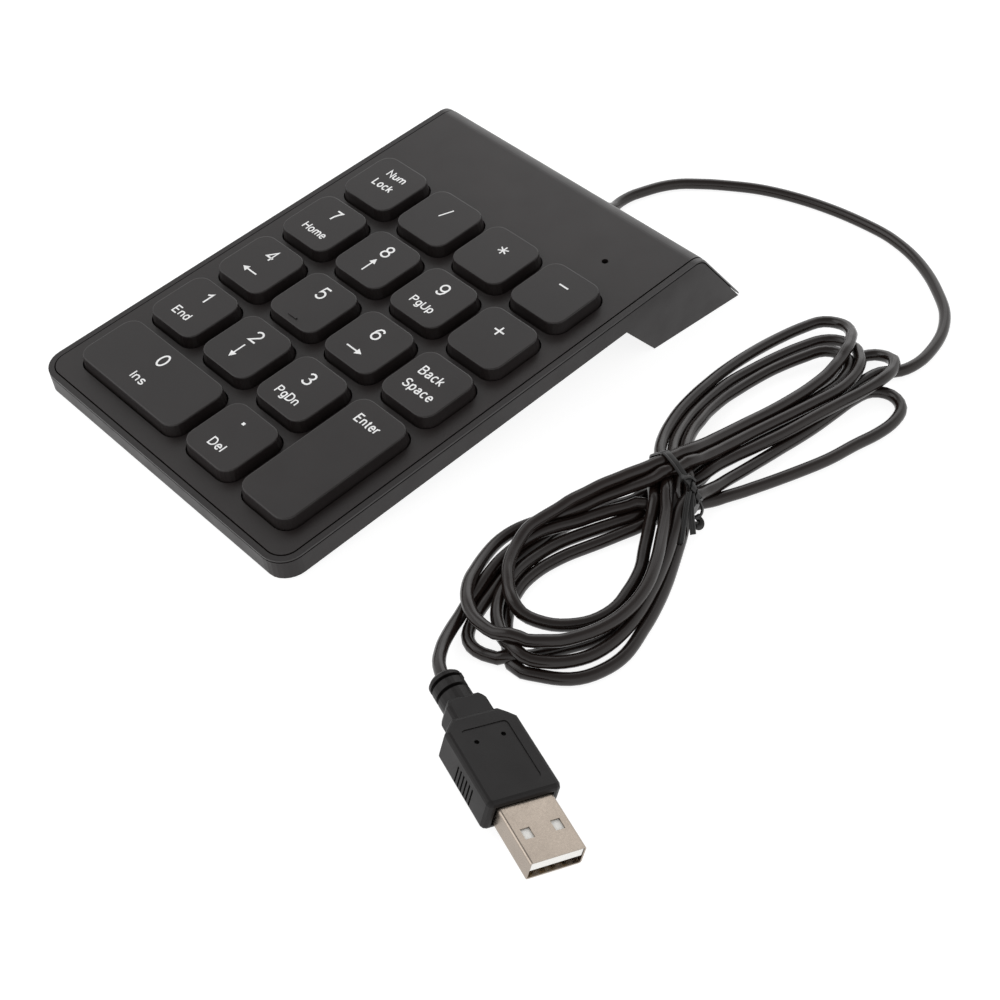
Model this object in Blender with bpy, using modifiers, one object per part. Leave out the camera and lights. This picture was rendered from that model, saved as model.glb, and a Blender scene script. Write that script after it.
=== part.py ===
"""Wired numeric keypad: eighteen sliding keys in a tilted deck, on a wedge-backed tray, with its cord.

The deck is modelled flat, in its own coordinates: x across, v towards the rear and z away from the desk,
with the key field's centre at the origin and the deck's top surface at z = 0. An empty named deck tilts
and lifts it, so that the tray's feet stand on the ground plane.
"""
import math

import bmesh
import bpy
from mathutils import Matrix, Vector

MM = 0.001
OBJECT_NAME = "numeric_keypad"

# Overall form, in deck coordinates.
TILT = math.radians(6.1)
DECK_RISE = 11.3 * MM              # deck origin above the ground
HALF_WIDTH = 42.9 * MM
FRONT = -52.85 * MM
REAR = 70.8 * MM                   # where the rear face would meet the deck plane
REAR_SLOPE = 0.674                 # how far the rear face runs back for each unit it drops
ROLL_RADIUS = 5.0 * MM             # rolled edge between the deck and the rear face
SLAB_DEPTH = 5.5 * MM
FRONT_CORNER = 5.65 * MM
REAR_CORNER = 1.0 * MM
NOTCH = 45.8 * MM                  # where the wedge leaves the slab's underside
WEDGE_FRONT = 54.6 * MM            # front of the wedge's sole
WEDGE_CLEARANCE = 0.35 * MM        # sole above the ground, taken up by the feet
WALL = 1.3 * MM
FLOOR = 1.0 * MM
SEAM = 0.3 * MM

# Deck plate and the trim around it.
RIM = 1.65 * MM
PLATE = 1.5 * MM
TRIM_TOP = 0.08 * MM               # how far below the deck the trim lies
TRIM_BOTTOM = 0.5 * MM
WALL_TOP = 0.8 * MM
INDICATOR = (27.2 * MM, 55.2 * MM)

# Keys.
PITCH = 19.05 * MM
OPENING = 17.0 * MM
CAP = 16.4 * MM
OPENING_CORNER = 3.7 * MM
CAP_CORNER = 3.4 * MM
CAP_TOP = 2.95 * MM
CAP_TAPER = 0.35 * MM               # how far each side of a cap leans in
CAP_SKIRT = -0.55 * MM
CAP_WALL = 1.0 * MM
STEM = 5.4 * MM
STEM_FOOT = -1.05 * MM
GUIDE_BORE = 5.9 * MM
GUIDE_OUTER = 8.0 * MM

# Layers under the keys, each as (bottom, top).
BACK_PLATE = (-4.35 * MM, -4.0 * MM)
MEMBRANE = (-3.87 * MM, -3.62 * MM)
DOME_SHEET = (-3.5 * MM, -3.2 * MM)
GUIDE_PLATE = (-3.07 * MM, -2.75 * MM)
GUIDE_TOP = -0.6 * MM
DOME_TOP = -1.2 * MM
FIELD_HALF_X = 36.5 * MM
FIELD_HALF_V = 47.0 * MM

# Circuit board, under the rear margin.
BOARD = (8.0 * MM, 33.5 * MM, 49.0 * MM, 65.0 * MM)    # x low, x high, v low, v high
BOARD_Z = (-3.45 * MM, -2.25 * MM)

# Cord.
CORD_RADIUS = 1.35 * MM
EXIT_HEIGHT = 4.8 * MM
GLAND_RADIUS = 2.3 * MM
PLUG_HEADING = math.radians(-16.2)
PLUG_PITCH = math.radians(2.1)
PLUG_ROLL = math.radians(-12.0)
PLUG_NOSE = (128.7 * MM, -77.0 * MM, 4.7 * MM)

# The cord's free stretches, as points along the middle of the cord, chosen by hand.
LEAD_ROUTE = (
    (0.0, 68.4, 3.1), (-0.2, 69.6, 2.3), (-0.6, 71.0, 1.75), (-1.1, 72.7, 1.45), (-1.3, 74.6, 1.4),
    (-1.2, 77.5, 1.4), (-0.6, 80.2, 1.4), (1.1, 85.8, 1.4), (3.6, 90.4, 1.4), (7.1, 94.1, 1.4), (10.9, 97.5, 1.4),
    (19.1, 103.4, 1.4), (28.7, 107.6, 1.4), (39.5, 110.3, 1.4), (50.8, 111.4, 1.4), (57.6, 110.7, 1.4),
    (63.8, 108.9, 1.4), (70.5, 105.6, 1.4), (76.5, 101.4, 1.4), (80.8, 97.7, 1.4), (83.9, 93.4, 1.4),
    (86.0, 88.9, 1.4), (87.4, 83.5, 1.4), (87.9, 78.6, 1.4), (87.8, 76.0, 1.4),
)
PLUG_LEAD_ROUTE = (
    (77.3, -55.4, 3.0), (79.0, -59.2, 4.1), (81.9, -62.5, 5.3), (85.6, -64.3, 5.9),
)
CABLE_ROUTE = (
    (0.0, 60.4, 4.8), (0.3, 57.6, 5.2), (1.2, 54.0, 6.6), (2.6, 50.4, 8.6), (4.9, 46.8, 10.6), (7.8, 44.6, 11.6),
    (10.6, 44.1, 11.8),
)
HANK_OUTLINE = (
    (61.5, 50.0), (61.8, 60.0), (65.0, 69.5), (71.0, 74.0), (79.0, 75.0), (87.0, 72.0), (94.5, 66.0),
    (98.5, 58.0), (99.5, 46.0), (97.5, 33.0), (94.0, 20.0), (91.5, 9.0), (92.5, 0.0), (98.0, -12.0),
    (103.5, -24.0), (105.5, -35.0), (103.5, -44.0), (97.5, -51.0), (89.0, -55.0), (80.0, -54.5),
    (72.0, -50.0), (66.5, -42.0), (64.5, -31.0), (65.0, -20.0), (68.5, -8.0), (73.0, 3.0), (73.0, 12.0),
    (68.0, 26.0), (63.5, 39.0),
)
HANK_Z = (0.3 * MM, 8.2 * MM)
TIE_CENTRE = (82.4, 7.5)
TIE_HEADING = math.radians(-12.0)

KEYS = (
    # name, column, row, columns wide, rows deep; column 0 is the left one and row 0 the rear one
    ("key_num_lock", 0, 0, 1, 1), ("key_divide", 1, 0, 1, 1),
    ("key_multiply", 2, 0, 1, 1), ("key_subtract", 3, 0, 1, 1),
    ("key_7", 0, 1, 1, 1), ("key_8", 1, 1, 1, 1), ("key_9", 2, 1, 1, 1), ("key_add", 3, 1, 1, 1),
    ("key_4", 0, 2, 1, 1), ("key_5", 1, 2, 1, 1), ("key_6", 2, 2, 1, 1), ("key_back_space", 3, 2, 1, 1),
    ("key_1", 0, 3, 1, 1), ("key_2", 1, 3, 1, 1), ("key_3", 2, 3, 1, 1), ("key_enter", 3, 3, 1, 2),
    ("key_0", 0, 4, 2, 1), ("key_decimal", 2, 4, 1, 1),
)


# --- helpers -------------------------------------------------------------------------------------------

def clear_scene():
    for obj in list(bpy.data.objects):
        bpy.data.objects.remove(obj, do_unlink=True)
    for collection in list(bpy.data.collections):
        bpy.data.collections.remove(collection)


def new_collection(name):
    collection = bpy.data.collections.new(name)
    bpy.context.scene.collection.children.link(collection)
    return collection


def material(name, colour, roughness, metallic=0.0):
    mat = bpy.data.materials.new(name)
    mat.use_nodes = True
    shader = mat.node_tree.nodes["Principled BSDF"]
    shader.inputs["Base Color"].default_value = (*colour, 1.0)
    shader.inputs["Roughness"].default_value = roughness
    shader.inputs["Metallic"].default_value = metallic
    return mat


def add_object(name, mesh, mat=None, parent=None, cutter=False):
    obj = bpy.data.objects.new(name, mesh)
    (CUTTERS if cutter else PARTS).objects.link(obj)
    if cutter:
        obj.hide_render = True
        obj.display_type = "WIRE"
    if mat is not None and not mesh.materials:
        mesh.materials.append(mat)
    obj.parent = parent
    return obj


def box_mesh(low, high):
    """A box between two corners."""
    bm = bmesh.new()
    bmesh.ops.create_cube(bm, size=1.0)
    size = Vector(high) - Vector(low)
    middle = (Vector(high) + Vector(low)) / 2
    bmesh.ops.transform(bm, matrix=Matrix.Translation(middle) @ Matrix.Diagonal((*size, 1.0)), verts=bm.verts)
    return finished(bm)


def cylinder_mesh(spots, radius, low, high, top_radius=None, segments=16):
    """Upright cylinders or cones of one size, one at each (x, y) spot."""
    bm = bmesh.new()
    for x, y in spots:
        bmesh.ops.create_cone(
            bm, cap_ends=True, segments=segments, radius1=radius,
            radius2=radius if top_radius is None else top_radius, depth=high - low,
            matrix=Matrix.Translation((x, y, (low + high) / 2)))
    return finished(bm)


def finished(bm):
    mesh = bpy.data.meshes.new("mesh")
    bm.to_mesh(mesh)
    bm.free()
    return mesh


def outline_mesh(outline, low, high):
    """A flat closed outline, extruded from low to high, made with a 2D curve."""
    curve = bpy.data.curves.new("outline", "CURVE")
    curve.dimensions = "2D"
    curve.fill_mode = "BOTH"
    curve.extrude = (high - low) / 2
    spline = curve.splines.new("POLY")
    spline.points.add(len(outline) - 1)
    for point, (x, y) in zip(spline.points, outline):
        point.co = (x, y, 0.0, 1.0)
    spline.use_cyclic_u = True
    mesh = mesh_of_curve(curve)
    mesh.transform(Matrix.Translation((0.0, 0.0, (low + high) / 2)))
    return mesh


def mesh_of_curve(curve):
    """A curve's mesh, with its caps welded on."""
    obj = bpy.data.objects.new("curve", curve)
    bpy.context.scene.collection.objects.link(obj)
    bpy.context.view_layer.update()
    mesh = bpy.data.meshes.new_from_object(obj.evaluated_get(bpy.context.evaluated_depsgraph_get()))
    bpy.data.objects.remove(obj)
    bm = bmesh.new()
    bm.from_mesh(mesh)
    bmesh.ops.remove_doubles(bm, verts=bm.verts, dist=1e-7)
    bmesh.ops.recalc_face_normals(bm, faces=bm.faces)
    bm.to_mesh(mesh)
    bm.free()
    return mesh


def side_mesh(profile, half_width):
    """A side view of (v, z) points, extruded across the object."""
    mesh = outline_mesh(profile, -half_width, half_width)
    turn = Matrix(((0.0, 0.0, 1.0, 0.0), (1.0, 0.0, 0.0, 0.0), (0.0, 1.0, 0.0, 0.0), (0.0, 0.0, 0.0, 1.0)))
    mesh.transform(turn)
    return mesh


def arc(centre, radius, start, end, steps):
    """Points of an arc, angles in degrees."""
    points = []
    for step in range(steps + 1):
        angle = math.radians(start + (end - start) * step / steps)
        points.append((centre[0] + radius * math.cos(angle), centre[1] + radius * math.sin(angle)))
    return points


def rounded(x_low, x_high, v_low, v_high, front, rear, steps=6):
    """A rectangle with rounded corners, one radius at the front and one at the rear."""
    points = arc((x_high - front, v_low + front), front, -90, 0, steps)
    points += arc((x_high - rear, v_high - rear), rear, 0, 90, steps)
    points += arc((x_low + rear, v_high - rear), rear, 90, 180, steps)
    points += arc((x_low + front, v_low + front), front, 180, 270, steps)
    return points


def loft_mesh(bottom, top):
    """A solid between two outlines of (x, y, z) points, equal in number."""
    bm = bmesh.new()
    low = [bm.verts.new(point) for point in bottom]
    high = [bm.verts.new(point) for point in top]
    count = len(low)
    for i in range(count):
        j = (i + 1) % count
        bm.faces.new((low[i], low[j], high[j], high[i]))
    bm.faces.new(list(reversed(low)))
    bm.faces.new(high)
    bmesh.ops.recalc_face_normals(bm, faces=bm.faces)
    return finished(bm)


def boolean(obj, operation, mesh, parent=None):
    """Cut, join or intersect an object with a mesh, at once."""
    tool = add_object("tool", mesh, parent=parent if parent is not None else obj.parent, cutter=True)
    modifier = obj.modifiers.new(operation.lower(), "BOOLEAN")
    modifier.operation = operation
    modifier.object = tool
    modifier.solver = "EXACT"
    bpy.context.view_layer.update()
    result = bpy.data.meshes.new_from_object(obj.evaluated_get(bpy.context.evaluated_depsgraph_get()))
    obj.modifiers.remove(modifier)
    bpy.data.objects.remove(tool)
    obj.data = result
    return obj


def bevel(obj, width, segments=2, angle=40.0):
    modifier = obj.modifiers.new("bevel", "BEVEL")
    modifier.width = width
    modifier.segments = segments
    modifier.limit_method = "ANGLE"
    modifier.angle_limit = math.radians(angle)
    return obj


def smooth(obj, angle=35.0):
    obj.data.shade_smooth()
    obj.data.set_sharp_from_angle(angle=math.radians(angle))
    return obj


def to_deck(y, z):
    """A point of the side view in world coordinates, as (v, z) of the deck; y is from the deck's origin."""
    rise = z - DECK_RISE
    return y * math.cos(TILT) + rise * math.sin(TILT), -y * math.sin(TILT) + rise * math.cos(TILT)


def from_deck(v, z):
    """The reverse of to_deck."""
    return v * math.cos(TILT) - z * math.sin(TILT), v * math.sin(TILT) + z * math.cos(TILT) + DECK_RISE


# --- side views ----------------------------------------------------------------------------------------

def rear_line(z, inset=0.0):
    """Where the rear face lies at a height, moved inwards square to itself."""
    return REAR - REAR_SLOPE * z - inset * math.hypot(1.0, REAR_SLOPE)


def rolled_edge(inset, steps):
    """The rolled edge between the deck's top and the rear face, from the deck to the rear face."""
    fall = math.degrees(math.atan(1.0 / REAR_SLOPE))
    radius = ROLL_RADIUS - inset
    tangent = ROLL_RADIUS * math.tan(math.radians(fall / 2))
    return arc((REAR - tangent, -ROLL_RADIUS), radius, 90.0, 90.0 - fall, steps)


def sole_points():
    """Front and rear of the wedge's sole, level with the ground."""
    wedge_y = from_deck(WEDGE_FRONT, -16.85 * MM)[0]
    front = to_deck(wedge_y, WEDGE_CLEARANCE)
    low = -20.0 * MM
    for _ in range(20):
        y = from_deck(rear_line(low), low)[0]
        low = to_deck(y, WEDGE_CLEARANCE)[1]
    return front, (rear_line(low), low)


def tray_profile(inset=0.0):
    """The whole pad from the side, with its top and rear face moved inwards: rear face, wedge, slab, front."""
    sole_front, sole_rear = sole_points()
    points = [(FRONT, -inset)] + rolled_edge(inset, 8)
    points += [(rear_line(sole_rear[1], inset), sole_rear[1]), sole_front, (NOTCH, -SLAB_DEPTH)]
    points += arc((FRONT + 0.8 * MM, -SLAB_DEPTH + 0.8 * MM), 0.8 * MM, -90, -180, 3)
    return points


def cavity_profile():
    """The room inside the tray, open at the top and at the rear."""
    sole_front, sole_rear = sole_points()
    return [
        (FRONT + WALL, 5.0 * MM), (FRONT + WALL, -SLAB_DEPTH + FLOOR),
        (NOTCH + 1.2 * MM, -SLAB_DEPTH + FLOOR), (sole_front[0] + 0.9 * MM, sole_front[1] + WALL),
        (sole_rear[0], sole_rear[1] + WALL), (100.0 * MM, sole_rear[1] + WALL), (100.0 * MM, 5.0 * MM),
    ]


def skin_profile(outer, inner, lift):
    """A layer of the casing from the side, between two insets: the flat, the rolled edge and the rear wall."""
    foot = sole_points()[1][1] + lift
    points = [(FRONT, -outer)] + rolled_edge(outer, 8)
    points += [(rear_line(foot, outer), foot), (rear_line(foot, inner), foot)]
    points += list(reversed(rolled_edge(inner, 8)))
    points += [(FRONT, -inner)]
    return points


def envelope_mesh():
    """The pad's plan outline, with the rear corners following the sloping rear face."""
    sections = []
    for z in (-24.0 * MM, 3.0 * MM):
        outline = rounded(-HALF_WIDTH, HALF_WIDTH, FRONT, rear_line(z), FRONT_CORNER, REAR_CORNER, 8)
        sections.append([(x, v, z) for x, v in outline])
    return loft_mesh(*sections)


def inner_plan_mesh(inset, z_low, z_high):
    """The plan inside the rim, running out past the rear."""
    outline = rounded(-HALF_WIDTH + inset, HALF_WIDTH - inset, FRONT + inset, 110.0 * MM,
                      FRONT_CORNER - inset, 1.0 * MM, 8)
    return outline_mesh(outline, z_low, z_high)


# --- casing --------------------------------------------------------------------------------------------

SLAB_SCREWS = [(side * 39.4 * MM, v) for v in (-28.6 * MM, 28.6 * MM) for side in (-1, 1)]
WEDGE_SCREWS = [(side * 37.4 * MM, 62.0 * MM) for side in (-1, 1)]
BOARD_SCREWS = [(11.0 * MM, 52.5 * MM), (31.0 * MM, 62.0 * MM)]


def make_bottom_shell(mat):
    """Tray with the wedge, its screw bosses and the pockets for the rear feet."""
    shell = add_object("bottom_shell", side_mesh(tray_profile(WALL_TOP), 60.0 * MM), mat, DECK)
    boolean(shell, "INTERSECT", envelope_mesh())
    cavity = add_object("cavity", side_mesh(cavity_profile(), 60.0 * MM), parent=DECK, cutter=True)
    boolean(cavity, "INTERSECT", inner_plan_mesh(WALL, -30.0 * MM, 9.0 * MM))
    boolean(shell, "DIFFERENCE", cavity.data.copy())
    bpy.data.objects.remove(cavity)
    boolean(shell, "UNION", cylinder_mesh(SLAB_SCREWS, 2.0 * MM, -SLAB_DEPTH + 0.4 * MM, -2.4 * MM))
    boolean(shell, "UNION", cylinder_mesh(WEDGE_SCREWS, 3.2 * MM, -17.0 * MM, -9.0 * MM))
    boolean(shell, "DIFFERENCE", cylinder_mesh(SLAB_SCREWS, 0.95 * MM, -9.0 * MM, 0.0))
    boolean(shell, "DIFFERENCE", cylinder_mesh(SLAB_SCREWS, 1.6 * MM, -9.0 * MM, -3.9 * MM))
    boolean(shell, "DIFFERENCE", cylinder_mesh(WEDGE_SCREWS, 1.1 * MM, -24.0 * MM, 0.0))
    boolean(shell, "DIFFERENCE", cylinder_mesh(WEDGE_SCREWS, 2.3 * MM, -24.0 * MM, -11.0 * MM))
    for spot in REAR_FEET:
        boolean(shell, "DIFFERENCE", cylinder_mesh([spot], 4.3 * MM, -2.0 * MM, 1.1 * MM), parent=GROUND)
    return smooth(shell)


def make_deck_plate(mat):
    """Top plate with its key openings, the rolled rear edge and the rear wall."""
    plate = add_object("deck_plate", side_mesh(skin_profile(0.0, PLATE, WALL + 2.2 * SEAM), 60.0 * MM), mat, DECK)
    boolean(plate, "INTERSECT", inner_plan_mesh(RIM, -30.0 * MM, 9.0 * MM))
    boolean(plate, "UNION", cylinder_mesh(SLAB_SCREWS, 1.6 * MM, -2.1 * MM, -1.0 * MM))
    boolean(plate, "UNION", cylinder_mesh(WEDGE_SCREWS, 2.6 * MM, -8.7 * MM, -1.0 * MM))
    boolean(plate, "UNION", cylinder_mesh(BOARD_SCREWS, 1.6 * MM, -2.1 * MM, -1.0 * MM))
    boolean(plate, "DIFFERENCE", cylinder_mesh(WEDGE_SCREWS, 1.1 * MM, -12.0 * MM, -3.0 * MM))
    boolean(plate, "DIFFERENCE", cylinder_mesh(SLAB_SCREWS + BOARD_SCREWS, 0.95 * MM, -5.0 * MM, -0.6 * MM))
    for _, column, row, wide, deep in KEYS:
        x, v, half_x, half_v = key_place(column, row, wide, deep, OPENING)
        outline = rounded(x - half_x, x + half_x, v - half_v, v + half_v, OPENING_CORNER, OPENING_CORNER, 5)
        boolean(plate, "DIFFERENCE", outline_mesh(outline, -5.0 * MM, 5.0 * MM))
    boolean(plate, "DIFFERENCE", cylinder_mesh([INDICATOR], 0.8 * MM, -5.0 * MM, 5.0 * MM))
    gland_hole = cylinder_mesh([(0.0, 0.0)], GLAND_RADIUS + SEAM, -20.0 * MM, 20.0 * MM, segments=20)
    gland_hole.transform(EXIT_AXIS)
    boolean(plate, "DIFFERENCE", gland_hole, parent=GROUND)
    return smooth(plate)


def make_edge_trim(mat):
    """Thin trim strip around the left, front and right of the deck plate, running down over the rear."""
    trim = add_object("edge_trim", side_mesh(skin_profile(TRIM_TOP, TRIM_BOTTOM, SEAM), 60.0 * MM), mat, DECK)
    boolean(trim, "INTERSECT", envelope_mesh())
    boolean(trim, "DIFFERENCE", inner_plan_mesh(RIM - SEAM, -30.0 * MM, 9.0 * MM))
    return smooth(trim)


def make_screws(mat):
    """Case screws from below and board screws, each a countersunk pan head on a shank."""
    groups = (
        ("case_screw", SLAB_SCREWS, 1.3, 0.65, -5.0, -4.1, -1.0, 1),
        ("wedge_screw", WEDGE_SCREWS, 2.0, 0.8, -12.6, -11.2, -4.0, 1),
        ("board_screw", BOARD_SCREWS[:1], 1.5, 0.65, -6.1, -5.15, -1.0, 1),
        ("board_screw", BOARD_SCREWS[1:], 1.5, 0.65, -4.6, -3.6, -1.0, 2),
    )
    for label, spots, head, shank, low, seat, tip, first in groups:
        for number, spot in enumerate(spots, first):
            screw = add_object(f"{label}_{number}", cylinder_mesh([spot], head * MM, low * MM, seat * MM), mat, DECK)
            boolean(screw, "UNION", cylinder_mesh([spot], shank * MM, (seat - 0.3) * MM, tip * MM, segments=12))
            slot = box_mesh((spot[0] - head * 0.6 * MM, spot[1] - 0.2 * MM, (low - 1.0) * MM),
                            (spot[0] + head * 0.6 * MM, spot[1] + 0.2 * MM, (low + 0.4) * MM))
            boolean(screw, "DIFFERENCE", slot)
            smooth(screw)


def make_feet(mat):
    """Four rubber pads; the front two are wedge-shaped between the sloping slab and the ground."""
    slab = box_mesh((-60.0 * MM, -80.0 * MM, -SLAB_DEPTH - 0.15 * MM), (60.0 * MM, 100.0 * MM, 9.0 * MM))
    for side, spot in zip(("left", "right"), FRONT_FEET):
        foot = add_object(f"foot_front_{side}", cylinder_mesh([spot], 4.0 * MM, 0.0, 3.0 * MM, segments=24), mat)
        boolean(foot, "DIFFERENCE", slab.copy(), parent=DECK)
        smooth(foot)
    for side, spot in zip(("left", "right"), REAR_FEET):
        mesh = cylinder_mesh([spot], 4.0 * MM, 0.0, 0.9 * MM, segments=24)
        smooth(add_object(f"foot_rear_{side}", mesh, mat))


# --- keys ----------------------------------------------------------------------------------------------

def key_place(column, row, wide, deep, size):
    """Centre and half sizes of a key's opening or cap."""
    x = (column + (wide - 1) / 2 - 1.5) * PITCH
    v = (2.0 - row - (deep - 1) / 2) * PITCH
    half_x = (size + (wide - 1) * PITCH) / 2
    half_v = (size + (deep - 1) * PITCH) / 2
    return x, v, half_x, half_v


def cap_mesh(wide, deep, homing):
    """Hollow key cap with a bevelled top and its guide stem, centred on its own axis."""
    half_x = (CAP + (wide - 1) * PITCH) / 2
    half_v = (CAP + (deep - 1) * PITCH) / 2
    outer = rounded(-half_x, half_x, -half_v, half_v, CAP_CORNER, CAP_CORNER, 5)
    top = rounded(-half_x + CAP_TAPER, half_x - CAP_TAPER, -half_v + CAP_TAPER, half_v - CAP_TAPER,
                  CAP_CORNER - 0.15 * MM, CAP_CORNER - 0.15 * MM, 5)
    cap = add_object("cap", loft_mesh([(x, v, CAP_SKIRT) for x, v in outer], [(x, v, CAP_TOP) for x, v in top]),
                     cutter=True)
    bm = bmesh.new()
    bm.from_mesh(cap.data)
    top_edges = [edge for edge in bm.edges if all(abs(vert.co.z - CAP_TOP) < 1e-6 for vert in edge.verts)
                 and any(abs(face.normal.z) < 0.5 for face in edge.link_faces)]
    bmesh.ops.bevel(bm, geom=top_edges, offset=0.25 * MM, segments=2, profile=0.6, affect="EDGES")
    bm.to_mesh(cap.data)
    bm.free()
    inner = rounded(-half_x + CAP_WALL, half_x - CAP_WALL, -half_v + CAP_WALL, half_v - CAP_WALL,
                    CAP_CORNER - CAP_WALL, CAP_CORNER - CAP_WALL, 2)
    boolean(cap, "DIFFERENCE", outline_mesh(inner, -5.0 * MM, CAP_TOP - CAP_WALL))
    boolean(cap, "UNION", box_mesh((-STEM / 2, -STEM / 2, STEM_FOOT), (STEM / 2, STEM / 2, CAP_TOP - 0.5 * MM)))
    if homing:
        bar = box_mesh((-1.4 * MM, -6.3 * MM, CAP_TOP - 0.3 * MM), (1.4 * MM, -5.85 * MM, CAP_TOP + 0.25 * MM))
        boolean(cap, "UNION", bar)
    mesh = cap.data
    bpy.data.objects.remove(cap)
    return mesh


def make_keys(mat):
    meshes = {}
    for name, column, row, wide, deep in KEYS:
        shape = (wide, deep, name == "key_5")
        if shape not in meshes:
            meshes[shape] = cap_mesh(*shape)
            meshes[shape].materials.append(mat)
        x, v, _, _ = key_place(column, row, wide, deep, CAP)
        key = add_object(name, meshes[shape], parent=DECK)
        key.location = (x, v, 0.0)
        smooth(key, 50.0)


def key_spots():
    return [key_place(column, row, wide, deep, CAP)[:2] for _, column, row, wide, deep in KEYS]


# --- layers under the keys -----------------------------------------------------------------------------

def field_sheet(name, mat, layer, inset=0.0):
    low, high = layer
    outline = rounded(-FIELD_HALF_X + inset, FIELD_HALF_X - inset, -FIELD_HALF_V + inset, FIELD_HALF_V - inset,
                      2.0 * MM, 2.0 * MM, 3)
    return add_object(name, outline_mesh(outline, low, high), mat, DECK)


def make_key_guide(mat):
    """Frame with a square chimney around each key's stem."""
    guide = field_sheet("key_guide", mat, GUIDE_PLATE)
    for x, v in key_spots():
        half = GUIDE_OUTER / 2
        boolean(guide, "UNION", box_mesh((x - half, v - half, GUIDE_PLATE[0] + 0.05 * MM),
                                         (x + half, v + half, GUIDE_TOP)))
    for x, v in key_spots():
        half = GUIDE_BORE / 2
        boolean(guide, "DIFFERENCE", box_mesh((x - half, v - half, -9.0 * MM), (x + half, v + half, 9.0 * MM)))
    return guide


def make_dome_sheet(mat):
    """Rubber sheet with a hollow dome under each stem."""
    sheet = field_sheet("rubber_dome_sheet", mat, DOME_SHEET, 0.4 * MM)
    spots = key_spots()
    boolean(sheet, "UNION", cylinder_mesh(spots, 2.5 * MM, DOME_SHEET[1] - 0.15 * MM, DOME_TOP, 1.6 * MM, 12))
    boolean(sheet, "DIFFERENCE", cylinder_mesh(spots, 2.25 * MM, -6.0 * MM, DOME_TOP - 0.3 * MM, 1.2 * MM, 12))
    return sheet


def make_membrane(mat):
    """Printed switch membrane with its tail to the circuit board."""
    sheet = field_sheet("switch_membrane", mat, MEMBRANE, 0.4 * MM)
    tail = box_mesh((14.0 * MM, 40.0 * MM, MEMBRANE[0]), (24.0 * MM, 55.0 * MM, MEMBRANE[1]))
    return boolean(sheet, "UNION", tail)


def make_electronics(board_mat, chip_mat, clear_mat, white_mat, steel_mat):
    """Circuit board with its chip, indicator and cord connector, and the bar that clamps the membrane's tail."""
    x_low, x_high, v_low, v_high = BOARD
    board = add_object("circuit_board", box_mesh((x_low, v_low, BOARD_Z[0]), (x_high, v_high, BOARD_Z[1])),
                       board_mat, DECK)
    boolean(board, "DIFFERENCE", cylinder_mesh(BOARD_SCREWS, 1.0 * MM, -9.0 * MM, 9.0 * MM, segments=12))
    under = BOARD_Z[0] - 0.12 * MM
    chip = add_object("controller_chip", box_mesh((21.0 * MM, 57.5 * MM, under - 1.2 * MM),
                                                  (27.0 * MM, 63.5 * MM, under)), chip_mat, DECK)
    bevel(chip, 0.2 * MM, 1)
    x, v = INDICATOR
    lamp = add_object("indicator_led", box_mesh((x - 0.8 * MM, v - 0.6 * MM, BOARD_Z[1] + 0.1 * MM),
                                                (x + 0.8 * MM, v + 0.6 * MM, BOARD_Z[1] + 0.55 * MM)), white_mat, DECK)
    bevel(lamp, 0.1 * MM, 1)
    smooth(add_object("indicator_light_pipe", cylinder_mesh([INDICATOR], 0.48 * MM, -1.58 * MM, -1.05 * MM),
                      clear_mat, DECK))
    clamp = add_object("membrane_clamp_bar", box_mesh((8.5 * MM, 50.7 * MM, -5.0 * MM),
                                                      (25.5 * MM, 54.3 * MM, -4.0 * MM)), steel_mat, DECK)
    boolean(clamp, "DIFFERENCE", cylinder_mesh(BOARD_SCREWS[:1], 1.0 * MM, -9.0 * MM, 0.0, segments=12))
    socket = add_object("cord_connector", box_mesh((11.0 * MM, 58.0 * MM, -8.0 * MM),
                                                   (19.0 * MM, 63.0 * MM, under)), white_mat, DECK)
    bevel(socket, 0.3 * MM, 1)


# --- cord ----------------------------------------------------------------------------------------------

def smooth_route(points, spacing):
    """Evenly spaced points of a smooth curve through a route's own points."""
    nodes = [Vector(point) * MM for point in points]
    nodes = [2 * nodes[0] - nodes[1]] + nodes + [2 * nodes[-1] - nodes[-2]]
    fine = []
    for a, b, c, d in zip(nodes, nodes[1:], nodes[2:], nodes[3:]):
        for step in range(20):
            t = step / 20
            fine.append(0.5 * (2 * b + (c - a) * t + (2 * a - 5 * b + 4 * c - d) * t ** 2
                               + (3 * b - a - 3 * c + d) * t ** 3))
    fine.append(nodes[-2])
    lengths = [0.0]
    for a, b in zip(fine, fine[1:]):
        lengths.append(lengths[-1] + (b - a).length)
    count = max(2, round(lengths[-1] / spacing))
    route = []
    index = 0
    for number in range(count + 1):
        target = lengths[-1] * number / count
        while index < len(fine) - 2 and lengths[index + 1] < target:
            index += 1
        share = (target - lengths[index]) / (lengths[index + 1] - lengths[index])
        route.append(fine[index].lerp(fine[index + 1], min(share, 1.0)))
    return route


def tube(name, points, radius, mat, spacing=7.0 * MM):
    curve = bpy.data.curves.new(name, "CURVE")
    curve.dimensions = "3D"
    curve.bevel_depth = radius
    curve.bevel_resolution = 2
    curve.use_fill_caps = True
    route = smooth_route(points, spacing)
    spline = curve.splines.new("POLY")
    spline.points.add(len(route) - 1)
    for point, place in zip(spline.points, route):
        point.co = (*place, 1.0)
    return smooth(add_object(name, mesh_of_curve(curve), mat))


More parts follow.
